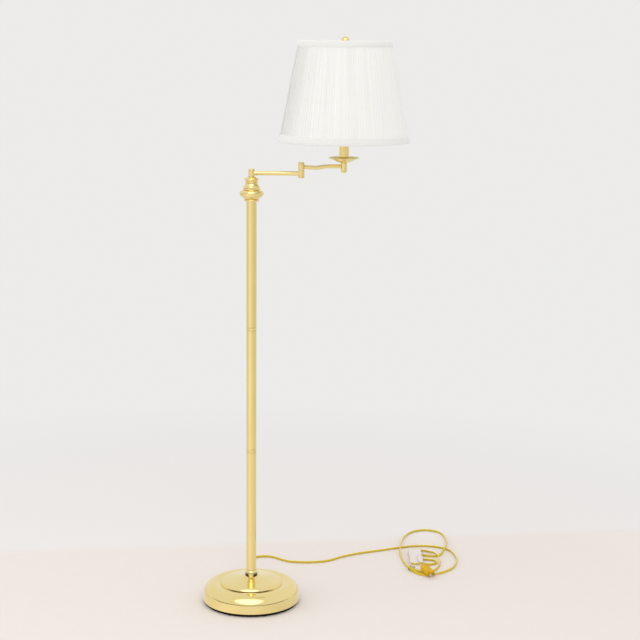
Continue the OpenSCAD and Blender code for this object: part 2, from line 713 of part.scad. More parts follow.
function lining_ring(z) = let (n = 2 * pleats, r = (shade_r(z) - liner_gap) / cos(180 / n))
    [for (i = [0:n - 1]) [r * cos(360 * i / n), r * sin(360 * i / n), z]];

// Four rings joined round: outside low and high, then inside high and low
module shade_pleats() color(off_white) translate([end_x, 0, 0]) {
    n = 2 * pleats;
    polyhedron(
        points = concat(pleat_ring(cloth_z0), pleat_ring(cloth_z1),
            lining_ring(cloth_z1), lining_ring(cloth_z0)),
        faces = [for (ring = [0:3], i = [0:n - 1])
            [ring * n + i, (ring + 1) % 4 * n + i, (ring + 1) % 4 * n + (i + 1) % n,
                ring * n + (i + 1) % n]],
        convexity = 10);
}

module shade_top_trim() color(off_white) cone_band(shade_z1 - top_trim_h, shade_z1, 0, trim_t);

module shade_bottom_trim() color(off_white)
    cone_band(shade_z0, shade_z0 + bottom_trim_h, 0, trim_t);

// ---- Cord ----

// Bushing in the back of the shell, tapering along the cord
module cord_bushing() color(cord_gold) translate([0, 0, exit_z]) rotate([-90, 0, 0]) turned([
    [0, 119.5], [4.4, 119.5], [6.4, 120.9], [6.4, base_r - 3.2], [5, base_r - 2.6],
    [5, base_r - 0.4], [7, base_r - 0.2], [7, base_r + 1.6], [5.2, base_r + 3],
    [cord_r + 0.7, exit_y], [0, exit_y]]);

module cord_run() color(cord_gold)
    tube_along(smooth_route(cord_route, steps_per_span), cord_r, tube_sides);

module cord_hank() color(cord_gold) linear_extrude(hank_h) {
    for (y = [hank_near, hank_far]) translate([hank_x, y]) circle(r = hank_r);
    translate([hank_x - hank_r, hank_near]) square([2 * hank_r, hank_far - hank_near]);
}

// Frame of the plug: its tail at the origin, its prongs along +X
module on_plug() translate(plug_tail) rotate([0, plug_tilt, plug_turn]) children();

module plug_body() color(cord_gold) on_plug() translate([0, 0, -plug_t / 2])
    linear_extrude(plug_t) polygon(concat([[0, -4], [14, -5]],
        arc([22, -plug_w / 2 + 4], 4, 200, 270, 4), arc([plug_l - 3, -plug_w / 2 + 3], 3, -90, 0, 4),
        arc([plug_l - 3, plug_w / 2 - 3], 3, 0, 90, 4), arc([22, plug_w / 2 - 4], 4, 90, 160, 4),
        [[14, 5], [0, 4]]));

module plug_prongs() color("silver") on_plug()
    for (s = [-1, 1]) translate([plug_l, s * 6.35 - 0.8, -3.2]) cube([prong_l, 1.6, 6.4]);

floor_ring();
base_weight();
base_shell();
base_nipple();
base_nut();
base_neck();
pole_lower();
pole_coupling_lower();
pole_middle();
pole_coupling_upper();
pole_upper();
cap_seat_ring();
cap_bowl();
cap_bell();
cap_top_plate();
column_wire();
swivel_stud();
swivel_washer();
pivot_cap();
arm_1_knuckle();
arm_1_rod();
arm_1_wire();
elbow_lower_knuckle();
elbow_lower_cap();
elbow_stud();
elbow_washer();
elbow_upper_cap();
elbow_upper_knuckle();
arm_2_rod();
arm_2_wire();
end_knuckle();
end_cap();
socket_nipple();
drip_pan();
candle_tube();
harp_saddle();
socket_cap();
socket_core();
socket_screw_shell();
socket_insulator();
socket_shell();
switch_bushing();
switch_knob();
bulb_base();
bulb_glass();
harp();
harp_ferrule_left();
harp_ferrule_right();
finial();
shade_spider();
shade_bottom_ring();
shade_liner();
shade_pleats();
shade_top_trim();
shade_bottom_trim();
cord_bushing();
cord_run();
cord_hank();
plug_body();
plug_prongs();
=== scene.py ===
"""Swing-arm floor lamp in polished brass with a knife-pleated shade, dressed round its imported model.

Profiles and routes are in millimetres and are turned into metres where a mesh is made.
"""

import random
from math import atan2, ceil, copysign, cos, dist, exp, hypot, pi, radians, sin

import bpy
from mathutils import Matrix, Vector


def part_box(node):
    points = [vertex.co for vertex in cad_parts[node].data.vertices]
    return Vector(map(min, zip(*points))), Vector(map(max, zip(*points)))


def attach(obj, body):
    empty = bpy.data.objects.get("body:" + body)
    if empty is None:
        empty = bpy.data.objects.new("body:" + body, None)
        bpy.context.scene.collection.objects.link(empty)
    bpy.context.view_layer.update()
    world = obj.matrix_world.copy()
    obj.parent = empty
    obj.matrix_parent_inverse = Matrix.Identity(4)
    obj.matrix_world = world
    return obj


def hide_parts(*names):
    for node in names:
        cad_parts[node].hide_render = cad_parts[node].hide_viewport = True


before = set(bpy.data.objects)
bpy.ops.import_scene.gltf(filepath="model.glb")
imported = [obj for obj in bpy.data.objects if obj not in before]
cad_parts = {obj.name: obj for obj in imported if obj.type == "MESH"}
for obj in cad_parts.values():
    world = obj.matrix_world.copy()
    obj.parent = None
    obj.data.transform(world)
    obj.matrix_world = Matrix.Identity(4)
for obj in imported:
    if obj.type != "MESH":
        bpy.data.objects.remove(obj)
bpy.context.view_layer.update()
random.seed(41)

MM = 0.001
TURN = 2 * pi


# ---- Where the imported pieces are, in millimetres ----

def low(node):
    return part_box(node)[0] / MM


def high(node):
    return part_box(node)[1] / MM


def middle(node):
    return (low(node) + high(node)) / 2


def half_width(node):
    return (high(node).x - low(node).x) / 2


COLUMN = (0.0, 0.0)
ELBOW = tuple(middle("elbow_stud").xy)
CANDLE = tuple(middle("candle_tube").xy)


# ---- Shader nodes ----

def feed(tree, node, **links):
    """Links or sets a node's inputs; i0 stands for the first one, Base_Color for the one so named."""
    for key, value in links.items():
        numbered = key[0] == "i" and key[1:].isdigit()
        socket = node.inputs[int(key[1:]) if numbered else key.replace("_", " ")]
        if isinstance(value, bpy.types.NodeSocket):
            tree.links.new(value, socket)
        else:
            socket.default_value = value


def add(tree, kind, settings=None, **links):
    """A new node with its settings and inputs."""
    node = tree.nodes.new(kind)
    for key, value in (settings or {}).items():
        setattr(node, key, value)
    feed(tree, node, **links)
    return node


def ramp(tree, source, *stops):
    """A colour ramp of grey or colour stops."""
    node = add(tree, "ShaderNodeValToRGB", Fac=source)
    elements = node.color_ramp.elements
    while len(elements) < len(stops):
        elements.new(0.5)
    for element, (place, value) in zip(elements, stops):
        element.position = place
        element.color = (value, value, value, 1) if isinstance(value, (int, float)) else (*value, 1)
    return node.outputs["Color"]


def maths(tree, operation, a, b=0.5):
    return add(tree, "ShaderNodeMath", {"operation": operation}, i0=a, i1=b).outputs[0]


def times(tree, a, b):
    return maths(tree, "MULTIPLY", a, b)


def vector(tree, operation, a, b=(0, 0, 0)):
    """The result of a vector operation, which is a number for a length or a dot product."""
    node = add(tree, "ShaderNodeVectorMath", {"operation": operation}, i0=a, i1=b)
    return node.outputs["Value" if operation in ("LENGTH", "DOT_PRODUCT") else "Vector"]


def split(tree, source):
    """The three numbers of a vector."""
    return add(tree, "ShaderNodeSeparateXYZ", Vector=source).outputs


def fit(tree, value, start, end, first=0.0, last=1.0, curve="LINEAR"):
    """The value from start to end, mapped to first to last and held there beyond its ends."""
    return add(tree, "ShaderNodeMapRange", {"interpolation_type": curve}, Value=value,
               From_Min=start, From_Max=end, To_Min=first, To_Max=last).outputs[0]


def mix(tree, kind, share, a, b):
    """Two colours mixed, each a socket or three numbers."""
    a, b = ((*colour, 1) if isinstance(colour, tuple) else colour for colour in (a, b))
    return add(tree, "ShaderNodeMix", {"data_type": "RGBA", "blend_type": kind},
               i0=share, i6=a, i7=b).outputs[2]


def noise(tree, where, scale, detail=3.0, stretch=(1, 1, 1)):
    """Noise over a position, drawn out where stretch is below 1."""
    placed = add(tree, "ShaderNodeMapping", Vector=where, Scale=stretch)
    return add(tree, "ShaderNodeTexNoise", Vector=placed.outputs[0], Scale=scale,
               Detail=detail).outputs[0]


def bump(tree, strength, distance, height):
    return add(tree, "ShaderNodeBump", Strength=strength, Distance=distance,
               Height=height).outputs[0]


def new_group(name, inputs, outputs):
    """An empty node group with named sockets; returns it, what it is given and its output node."""
    group = bpy.data.node_groups.new(name, "ShaderNodeTree")
    for labels, way in ((inputs, "INPUT"), (outputs, "OUTPUT")):
        for label in labels.split():
            kind = "Vector" if label in ("Vector", "Stretch", "Normal") else "Float"
            group.interface.new_socket(label, in_out=way, socket_type="NodeSocket" + kind)
    return (group, group.nodes.new("NodeGroupInput").outputs, group.nodes.new("NodeGroupOutput"))


def make_handling():
    """Smudges, fine polishing lines and small pits, for lacquered or plated metal."""
    group, given, out = new_group("handling", "Vector Stretch Lines Depth Low High",
                                  "Tone Roughness Normal")
    where = given["Vector"]
    drawn = vector(group, "MULTIPLY", where, given["Stretch"])
    lines = add(group, "ShaderNodeTexNoise", Vector=drawn, Scale=given["Lines"],
                Detail=2.0).outputs[0]
    smudge = noise(group, where, 14, 5)
    pits = add(group, "ShaderNodeTexVoronoi", Vector=where, Scale=120).outputs["Distance"]
    pit = ramp(group, pits, (0.02, 0), (0.07, 1))
    feed(group, out, Tone=times(group, ramp(group, smudge, (0.3, 0), (0.75, 1)), pit),
         Roughness=fit(group, smudge, 0.35, 0.7, given["Low"], given["High"]),
         Normal=bump(group, given["Depth"], 0.0004, times(group, lines, pit)))
    return group


def make_weave():
    """Plain weave over a flat cloth whose position is in metres: threads, slubs and their shade."""
    group, given, out = new_group("weave", "Vector Threads Depth", "Shade Normal")
    where = given["Vector"]
    waves = []
    for along in split(group, where)[:2]:
        turned_by = times(group, along, times(group, given["Threads"], pi))
        waves.append(maths(group, "ABSOLUTE", maths(group, "SINE", turned_by), 0))
    slubs = maths(group, "ADD", noise(group, where, 160, 3, (1, 0.04, 1)),
                  noise(group, where, 160, 3, (0.04, 1, 1)))
    height = maths(group, "ADD", maths(group, "MAXIMUM", *waves), slubs)
    feed(group, out, Shade=fit(group, height, 0.6, 2.0),
         Normal=bump(group, given["Depth"], 0.0002, height))
    return group


def make_grain():
    """Pebbled grain with a little dust in it, for castings, rubber and moulded plastic."""
    group, given, out = new_group("grain", "Vector Size Depth Low High", "Dust Roughness Normal")
    where = given["Vector"]
    pebbles = add(group, "ShaderNodeTexNoise", Vector=where, Scale=given["Size"],
                  Detail=3.0).outputs[0]
    clouds = noise(group, where, 22, 4)
    feed(group, out, Dust=ramp(group, clouds, (0.5, 0), (0.8, 1)),
         Roughness=fit(group, clouds, 0.3, 0.7, given["Low"], given["High"]),
         Normal=bump(group, given["Depth"], 0.0003, pebbles))
    return group


HANDLING = make_handling()
WEAVE = make_weave()
GRAIN = make_grain()


# ---- Materials ----

def new_material(name, **plain):
    """A Principled material with its plain values on the shader's own sockets."""
    material = bpy.data.materials.new(name)
    material.use_nodes = True
    tree = material.node_tree
    shader = tree.nodes["Principled BSDF"]
    feed(tree, shader, **plain)
    return material, tree, shader, tree.nodes.new("ShaderNodeTexCoord").outputs


def worked_metal(name, light, dark, stretch=(1, 1, 0.03), lines=700.0, depth=0.06, low_rough=0.1,
                 high_rough=0.2, coat=0.0):
    material, tree, shader, place = new_material(name, Metallic=1.0, Coat_Weight=coat,
                                                 Coat_Roughness=0.06)
    wear = add(tree, "ShaderNodeGroup", {"node_tree": HANDLING}, Vector=place["Object"],
               Stretch=stretch, Lines=lines, Depth=depth, Low=low_rough, High=high_rough).outputs
    feed(tree, shader, Base_Color=mix(tree, "MIX", wear["Tone"], dark, light),
         Roughness=wear["Roughness"], Normal=wear["Normal"])
    return material


def moulded(name, light, dark, size=900.0, depth=0.25, low_rough=0.3, high_rough=0.5, **plain):
    material, tree, shader, place = new_material(name, **plain)
    grain = add(tree, "ShaderNodeGroup", {"node_tree": GRAIN}, Vector=place["Object"],
                Size=size, Depth=depth, Low=low_rough, High=high_rough).outputs
    feed(tree, shader, Base_Color=mix(tree, "MIX", grain["Dust"], light, dark),
         Roughness=grain["Roughness"], Normal=grain["Normal"])
    return material


def woven(name, light, dark, threads, depth, pleat_shade=0.0):
    """Cloth whose UV map is in metres; its painted shade darkens it along irregular lines up the
    cloth, as the folds' shade.
    """
    material, tree, shader, place = new_material(
        name, Roughness=0.85, Sheen_Weight=0.15, Sheen_Roughness=0.4, Subsurface_Weight=0.6,
        Subsurface_Radius=(0.005, 0.005, 0.0045))
    cloth = add(tree, "ShaderNodeGroup", {"node_tree": WEAVE}, Vector=place["UV"],
                Threads=threads, Depth=depth).outputs
    clouds = times(tree, noise(tree, place["Object"], 9, 3), 0.4)
    shade = maths(tree, "ADD", times(tree, cloth["Shade"], 0.55), clouds)
    spun = mix(tree, "MIX", shade, dark, light)
    # Painted shade: darker streaks up the cloth, for the shade along the pleats' folds
    if pleat_shade:
        run = noise(tree, place["UV"], 110, 2, (1, 0.012, 1))
        spun = mix(tree, "MULTIPLY", pleat_shade, spun, ramp(tree, run, (0.35, 0.62), (0.62, 1.0)))
    feed(tree, shader, Base_Color=spun, Normal=cloth["Normal"])
    return material


BRASS = (0.89, 0.74, 0.345), (0.85, 0.69, 0.295)
TURNED = (*BRASS, (0.05, 0.05, 1), 900, 0.05)
SPUN = (*BRASS, (0.2, 0.2, 1), 400, 0.03, 0.06, 0.13)
brass_drawn = worked_metal("brass_drawn", *BRASS, coat=0.2)
brass_turned = worked_metal("brass_turned", *TURNED, coat=0.2)
brass_spun = worked_metal("brass_spun", *SPUN, coat=0.3)
brass_rod = worked_metal("brass_rod", *BRASS, (0.03, 1, 1), coat=0.2)
brass_neck = worked_metal("brass_neck", *TURNED, coat=0.2)
brass_base = worked_metal("brass_base", *SPUN, coat=0.3)
nickel = worked_metal("nickel", (0.62, 0.59, 0.55), (0.48, 0.45, 0.42), low_rough=0.2,
                      high_rough=0.35)
zinc = worked_metal("zinc", (0.62, 0.62, 0.6), (0.48, 0.48, 0.47), low_rough=0.3, high_rough=0.45)
shell_brass = worked_metal("shell_brass", (0.8, 0.6, 0.3), (0.68, 0.48, 0.22), low_rough=0.25,
                           high_rough=0.4)
black_casting = moulded("black_casting", (0.035, 0.033, 0.03), (0.1, 0.09, 0.08), 350, 0.6, 0.5, 0.8)
black_rubber = moulded("black_rubber", (0.012, 0.01, 0.008), (0.035, 0.03, 0.025), 1400, 0.2, 0.7,
                       0.9, Specular_IOR_Level=0.04)
phenolic = moulded("phenolic", (0.035, 0.02, 0.014), (0.07, 0.045, 0.03), 600, 0.1, 0.2, 0.35)
nylon = moulded("nylon", (0.82, 0.8, 0.72), (0.75, 0.72, 0.62), 900, 0.1, 0.35, 0.5)
fibre_card = moulded("fibre_card", (0.42, 0.31, 0.18), (0.33, 0.24, 0.13), 500, 0.4, 0.7, 0.9)
frosted_glass = moulded("frosted_glass", (0.93, 0.93, 0.91), (0.9, 0.9, 0.87), 2500, 0.05, 0.3, 0.4,
                        Subsurface_Weight=0.4, Subsurface_Radius=(0.01, 0.01, 0.01),
                        Coat_Weight=0.4)
lining = moulded("lining", (0.87, 0.87, 0.84), (0.83, 0.82, 0.78), 700, 0.1, 0.35, 0.5)
pleated_cloth = woven("pleated_cloth", (0.91, 0.905, 0.88), (0.84, 0.835, 0.80), 2400, 0.35, 0.16)
# Painted shade: the bands' cloth is darker than the pleated cloth, so the smooth bands look as dim as
# the pleats in their folds' shade
trim_cloth = woven("trim_cloth", (0.84, 0.835, 0.815), (0.765, 0.76, 0.73), 1800, 0.4)
tag_paper = moulded("tag_paper", (0.82, 0.745, 0.70), (0.79, 0.715, 0.67), 500, 0.2, 0.7, 0.9)
tie_paper = moulded("tie_paper", (0.8, 0.66, 0.4), (0.66, 0.52, 0.28), 500, 0.3, 0.6, 0.8)


def paint_crevice_shade(material, *marks):
    """Paints shade and dark reflection into a base piece's metal along its crevices, in a dark brown.
    A mark is a set of ramps, each over the distance from the lamp's axis, the height or the distance
    to either side, in metres."""
    tree = material.node_tree
    shader = tree.nodes["Principled BSDF"]
    place = tree.nodes.new("ShaderNodeTexCoord").outputs["Object"]
    aside, _, up = split(tree, place)
    measures = {"away": vector(tree, "LENGTH", vector(tree, "MULTIPLY", place, (1, 1, 0))),
                "up": up, "aside": maths(tree, "ABSOLUTE", aside, 0)}
    whole = None
    for limits in marks:
        mark = None
        for measure, start, end in limits:
            step = fit(tree, measures[measure], start, end, curve="SMOOTHSTEP")
            mark = times(tree, mark, step) if mark else step
        whole = maths(tree, "MAXIMUM", whole, mark) if whole else mark
    # Painted shade and dark reflection: the marks mix the metal towards a dark brown
    unshaded_colour = shader.inputs["Base Color"].links[0].from_socket
    feed(tree, shader, Base_Color=mix(tree, "MIX", whole, unshaded_colour, (0.07, 0.045, 0.012)))


def gold_plastic(name, cord, *golds):
    """Gold plastic from its light to its dark tone; on the cord, the lobes are painted lighter as a
    highlight and the groove between them darker as shade, with twisted lines for the cores.
    """
    plain = ({"Roughness": 0.33, "Coat_Weight": 0.1} if cord
             else {"Roughness": 0.5, "Specular_IOR_Level": 0.25})
    material, tree, shader, place = new_material(
        name, IOR=1.45, Coat_Roughness=0.12, Subsurface_Weight=0.25,
        Subsurface_Radius=(0.004, 0.003, 0.0005), **plain)
    if cord:
        across, along, _ = split(tree, place["UV"])
        # Painted highlight and shade: lighter on the lobes, darker in the groove between them
        lobe_light_and_shade = maths(tree, "ABSOLUTE", maths(tree, "SINE", times(tree, across, TURN)), 0)
        twist = maths(tree, "SINE", maths(tree, "ADD", times(tree, along, 2600),
                                          times(tree, across, 30)), 0)
        tone = maths(tree, "ADD", times(tree, lobe_light_and_shade, 0.8), times(tree, twist, 0.12))
    else:
        tone = noise(tree, place["Object"], 60, 3)
    feed(tree, shader, Base_Color=ramp(tree, tone, *zip((0.1, 0.5, 0.95), golds)),
         Normal=bump(tree, 0.12, 0.0005, noise(tree, place["Object"], 260, 2)))
    return material


cord_plastic = gold_plastic("cord_plastic", True, (0.88, 0.71, 0.05), (0.79, 0.59, 0.02),
                            (0.55, 0.41, 0.02))
plug_plastic = gold_plastic("plug_plastic", False, (0.80, 0.50, 0.003), (0.72, 0.42, 0.002),
                            (0.58, 0.32, 0.002))


# ---- Making pieces ----

def clear_selection():
    bpy.ops.object.select_all(action="DESELECT")


def active():
    return bpy.context.active_object


def mode(kind):
    bpy.ops.object.mode_set(mode=kind)


def smooth_by(degrees=35):
    bpy.ops.object.shade_smooth_by_angle(angle=radians(degrees))


def shift(x=0, y=0, z=0):
    """Moves what is selected in edit mode, by millimetres."""
    bpy.ops.transform.translate(value=(x * MM, y * MM, z * MM))


def pick(*pieces):
    """Selects the pieces alone and makes the first of them the active one."""
    clear_selection()
    for piece in pieces:
        piece.select_set(True)
    bpy.context.view_layer.objects.active = pieces[0]


def arc(cx, cz, radius, start, end, steps=10):
    """Points of a profile arc, by angles in degrees from +X."""
    angles = [radians(start + (end - start) * i / steps) for i in range(steps + 1)]
    return [(cx + radius * cos(a), cz + radius * sin(a)) for a in angles]


def raised(profile, z):
    return [(r, h + z) for r, h in profile]


def close_up(smooth=35):
    """Merges the seam of the mesh in edit mode, turns its faces outwards and smooths it."""
    bpy.ops.mesh.select_all(action="SELECT")
    bpy.ops.mesh.remove_doubles(threshold=1e-6)
    bpy.ops.mesh.normals_make_consistent(inside=False)
    mode("OBJECT")
    smooth_by(smooth)
    return active()


def turn(profile, at=COLUMN, steps=96, smooth=35):
    """A closed half profile, drawn point by point and spun about a vertical axis."""
    clear_selection()
    bpy.ops.mesh.primitive_plane_add(size=MM)
    mode("EDIT")
    bpy.ops.mesh.merge(type="CENTER")
    shift(at[0] + profile[0][0], at[1], profile[0][1])
    for here, there in zip(profile, profile[1:] + profile[:1]):
        step = ((there[0] - here[0]) * MM, 0, (there[1] - here[1]) * MM)
        bpy.ops.mesh.extrude_vertices_move(TRANSFORM_OT_translate={"value": step})
    bpy.ops.mesh.select_all(action="SELECT")
    bpy.ops.mesh.remove_doubles(threshold=1e-6)
    bpy.ops.mesh.spin(steps=steps, angle=TURN, center=(at[0] * MM, at[1] * MM, 0), axis=(0, 0, 1))
    return close_up(smooth)


def select_where(test):
    """In edit mode, selects the faces whose centre passes the test, which is given millimetres."""
    bpy.ops.mesh.select_all(action="DESELECT")
    mode("OBJECT")
    mesh = active().data
    for face in mesh.polygons:
        face.select = test(face.center / MM, face.normal)
    mode("EDIT")


def quads(rows, across, ring=False):
    """Faces between rows of points; in a ring, the last point of a row is next to its first."""
    return [(i * across + k, i * across + (k + 1) % across, (i + 1) * across + (k + 1) % across,
             (i + 1) * across + k)
            for i in range(rows - 1) for k in range(across if ring else across - 1)]


def put(name, data):
    """A new object in the scene."""
    made = bpy.data.objects.new(name, data)
    bpy.context.collection.objects.link(made)
    return made


def mesh_piece(points, faces, smooth=35):
    """A mesh from points in millimetres, made the active object."""
    mesh = bpy.data.meshes.new("piece")
    mesh.from_pydata([Vector(p) * MM for p in points], [], faces)
    piece = put("piece", mesh)
    pick(piece)
    smooth_by(smooth)
    return piece


def block(length, width, height, at):
    """A block round a place, in millimetres, left in edit mode."""
    clear_selection()
    bpy.ops.mesh.primitive_cube_add(size=1)
    mode("EDIT")
    bpy.ops.transform.resize(value=(length * MM, width * MM, height * MM))
    shift(*at)


def rod(points, radius, sides=24):
    """A round rod along points in millimetres, made with a bevelled curve and then a mesh."""
    curve = bpy.data.curves.new("rod", "CURVE")
    curve.dimensions = "3D"
    curve.bevel_depth = radius * MM
    curve.bevel_resolution = sides // 4 - 1
    curve.use_fill_caps = True
    curve.twist_mode = "MINIMUM"
    spline = curve.splines.new("POLY")
    spline.points.add(len(points) - 1)
    for point, place in zip(spline.points, points):
        point.co = (*(Vector(place) * MM), 1)
    pick(put("rod", curve))
    bpy.ops.object.convert(target="MESH")
    mode("EDIT")
    return close_up()


def join(pieces):
    pick(*pieces)
    bpy.ops.object.join()


def modify(kind, **settings):
    """Adds a modifier to the active piece and applies it."""
    piece = active()
    modifier = piece.modifiers.new(kind.lower(), kind)
    for key, value in settings.items():
        setattr(modifier, key, value)
    bpy.ops.object.modifier_apply(modifier=modifier.name)
    return piece


def drill(piece, at, radius, depth, rotation, vertices):
    """Drills a round hole into the piece, its middle at a place in millimetres."""
    clear_selection()
    bpy.ops.mesh.primitive_cylinder_add(vertices=vertices, radius=radius * MM, depth=depth * MM,
                                        location=Vector(at) * MM, rotation=rotation)
    tool = active()
    pick(piece)
    modify("BOOLEAN", object=tool, operation="DIFFERENCE", solver="EXACT")
    bpy.data.objects.remove(tool)


def coat(piece, finish):
    piece.data.materials.clear()
    piece.data.materials.append(finish)


def keep(name, body, finish, *stands_for, slot="polished_brass"):
    """Names the active piece, gives it its material and seats it on its body."""
    piece = active()
    piece.name = piece.data.name = name
    coat(piece, finish)
    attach(piece, body)
    if stands_for:
        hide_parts(*stands_for)
    return piece


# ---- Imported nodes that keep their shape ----

for finish, names in (
        (brass_drawn, "pole_lower pole_middle pole_upper candle_tube"),
        (brass_rod, "arm_1_rod"),
        (brass_turned, "socket_cap socket_shell swivel_stud base_nipple harp_saddle shade_spider"),
        (black_casting, "base_weight"),
        (zinc, "base_nut elbow_stud socket_nipple shade_bottom_ring swivel_washer"),
        (nickel, "switch_bushing bulb_base"),
        (nylon, "elbow_washer"),
        (phenolic, "socket_core switch_knob"),
        (fibre_card, "socket_insulator"),
        (shell_brass, "socket_screw_shell"),
        (plug_plastic, "column_wire arm_1_wire arm_2_wire")):
    for name in names.split():
        coat(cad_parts[name], finish)


# ---- Base ----

BASE_R = half_width("base_shell")
SEAT = high("base_shell").z
RIM = low("base_shell").z
SHOULDER, STEP, SHELL = 27.5, 12, 1.5  # radii of the two rolls and the metal's thickness
SHOULDER_AT = (BASE_R - 1.8 - SHOULDER, SEAT - 45.5)
STEP_AT = (68, SEAT - 23)
EDGE = arc(*STEP_AT, STEP, 81, 81, 1)[0]


FLANK_TOP, SLOPE = 17, 0.158  # the flank's inner radius, and its slope beside the step


def flank(r):
    """Height of the hollow flank that rises from the step to the seat."""
    run = (EDGE[0] - r) / (EDGE[0] - FLANK_TOP)
    return (EDGE[1] + SLOPE * (EDGE[0] - r)
            + (SEAT - EDGE[1] - SLOPE * (EDGE[0] - FLANK_TOP)) * run ** 5)


flank_at = [EDGE[0] + (FLANK_TOP - EDGE[0]) * k / 30 for k in range(31)]
turn([(BASE_R - 0.55, RIM + 0.9), (BASE_R - 0.12, RIM + 2.2), (BASE_R, RIM + 3.8)]
     + arc(*SHOULDER_AT, SHOULDER, 0, 86, 48)
     + raised([(93.5, -18.3), (89, -18.9), (85.5, -19.6), (82.6, -20.4), (81.2, -20.9),
               (80.3, -21.1), (79.85, -20.9)], SEAT)
     + arc(*STEP_AT, STEP, 12, 79, 40) + [(r, flank(r)) for r in flank_at]
     + [(16.6, SEAT), (5.05, SEAT), (5.05, SEAT - SHELL), (16, SEAT - SHELL)]
     + [(r - 0.2, flank(r) - SHELL) for r in flank_at[-2::-3]]
     + arc(67.4, STEP_AT[1], STEP - SHELL, 70, 20, 8)
     + [(78.4, SEAT - 22.5), (82.9, SEAT - 21.6)] + arc(*SHOULDER_AT, SHOULDER - SHELL, 83, 0, 24)
     + [(BASE_R - SHELL, RIM + 1.5), (BASE_R - 2.5, RIM + 1.3), (BASE_R - 2.6, RIM + 0.6),
        (BASE_R - 2.2, RIM + 0.1), (BASE_R - 1.6, RIM), (BASE_R - 1.1, RIM + 0.2)], steps=160)
keep("base_spun_shell", "root", brass_base, "base_shell")
# Painted shade: a thin dark line round the groove under the step, strongest at the front and back
paint_crevice_shade(brass_base, (("away", 0.0788, 0.0798), ("away", 0.0818, 0.0804), ("aside", 0.066, 0.04)))
# Painted shade and dark reflection: dark crescents at the sides of the neck's foot, none at its front
# and back
paint_crevice_shade(brass_neck, (("up", (SEAT + 10) * MM, (SEAT + 4) * MM), ("away", 0.0142, 0.0154),
                     ("aside", 0.004, 0.0075)))

NECK = high("base_neck").z - 22
turn([(5.05, SEAT), (15.3, SEAT), (15.8, SEAT + 0.15), (15.9, SEAT + 0.7)]
     + arc(-8.1, SEAT + 2.5, 24, 0, 28, 24)
     + [(12.93, SEAT + 14.4), (12.9, NECK - 0.3), (12.7, NECK), (11.7, NECK), (11.7, NECK + 22),
        (5.05, NECK + 22)])
keep("base_turned_neck", "root", brass_neck, "base_neck")

PAD_R, PAD_H, PADS, FIRST_PAD = 7.5, 3.9, 8, 19.5
feet = [turn([(97, 0.7), (118.6, 0.7), (119.7, 1.1), (120, 2), (120, 6.4), (119.6, 7), (118.9, 7),
              (118.5, 6.4), (118.5, 4), (92, 4), (92, 1.3), (92.6, 0.7)], steps=144)]
clear_selection()
bpy.ops.mesh.primitive_cylinder_add(vertices=32, radius=PAD_R * MM, depth=PAD_H * MM,
                                    location=(113.2 * MM, 0, PAD_H / 2 * MM))
bpy.ops.object.transform_apply()
pad = modify("BEVEL", width=0.6 * MM, segments=2, limit_method="ANGLE")
for k in range(PADS):
    pick(pad)
    bpy.ops.object.duplicate()
    copy = active()
    copy.rotation_euler = (0, 0, radians(FIRST_PAD) + TURN * k / PADS)
    bpy.ops.object.transform_apply()
    feet.append(copy)
bpy.data.objects.remove(pad)
join(feet)
smooth_by()
keep("rubber_ring", "root", black_rubber, "floor_ring", slot="black_rubber")


# ---- Column joints and the vase cap ----

for node in ("pole_coupling_lower", "pole_coupling_upper"):
    turn(raised([(6, -22), (11.7, -22), (11.7, -4.5), (12.1, -4.5), (12.7, -4.1), (12.85, -3.6),
                 (12.85, -0.3), (12.7, 0), (12.85, 0.3), (12.85, 3.6), (12.7, 4.1), (12.1, 4.5),
                 (11.7, 4.5), (11.7, 22), (6, 22)], middle(node).z))
    keep(node.replace("coupling", "band"), "root", brass_turned, node)

turn(raised([(5, -22), (11.7, -22), (11.7, 0), (14.8, 0)] + arc(16.6, 2.8, 2.7, -80, 78, 16)
            + [(15, 5.5), (5, 5.5)], high("pole_upper").z))
keep("vase_seat", "root", brass_turned, "cap_seat_ring")

turn(raised([(5, 0), (17.2, 0), (18.6, 0.35), (19.6, 1.3)] + arc(18.4, 15.4, 11.6, -63, -3, 28)
            + arc(22.8, 15.4, 7.2, 0, 76, 20) + [(23.6, 22.75), (21.5, 23), (5, 23)],
            low("cap_bowl").z))
keep("vase_bowl", "root", brass_spun, "cap_bowl")

turn(raised([(5, 0), (19.8, 0), (20.8, 0.2), (21.3, 0.8), (21.4, 1.8), (21.45, 3.4), (21.3, 5.6)]
            + arc(28.9, 18.6, 13, -130, -178, 24) + arc(14.3, 20, 1.5, -50, 60, 10)
            + [(14.65, 21.8), (14.6, 23.5), (5, 23.5)], low("cap_bell").z))
keep("vase_bell", "root", brass_turned, "cap_bell")

turn(raised([(5, 0), (15.2, 0)] + arc(16, 3, 2.6, -65, 68, 14)
            + [(15.6, 6.0), (14.2, 6.75), (12.4, 7.75), (10.6, 8.7), (9.7, 9), (5, 9)],
            low("cap_top_plate").z))
keep("vase_top", "root", brass_turned, "cap_top_plate")


# ---- Arms ----

def dome_cap(node, body, bore, depth, height, tip, flip):
    """Domed cap of a stud, its open end at the node's lower end, or at its upper end if flipped."""
    z = high(node).z if flip else low(node).z
    cap_r = half_width(node)
    profile = ([(0, depth), (bore, depth), (bore, 0), (cap_r - 0.3, 0), (cap_r, 0.3),
                (cap_r, height - 1.7)] + arc(cap_r - 1.6, height - 1.6, 1.6, 5, 88, 10)
               + ([(1.5, height), (1.3, height + tip * 0.7), (0.6, height + tip)] if tip else [])
               + [(0, height + tip)])
    if flip:
        profile = [(r, -h) for r, h in profile]
    turn(raised(profile, z), tuple(middle(node).xy), 64)
    keep(node + "_domed", body, brass_turned, node)


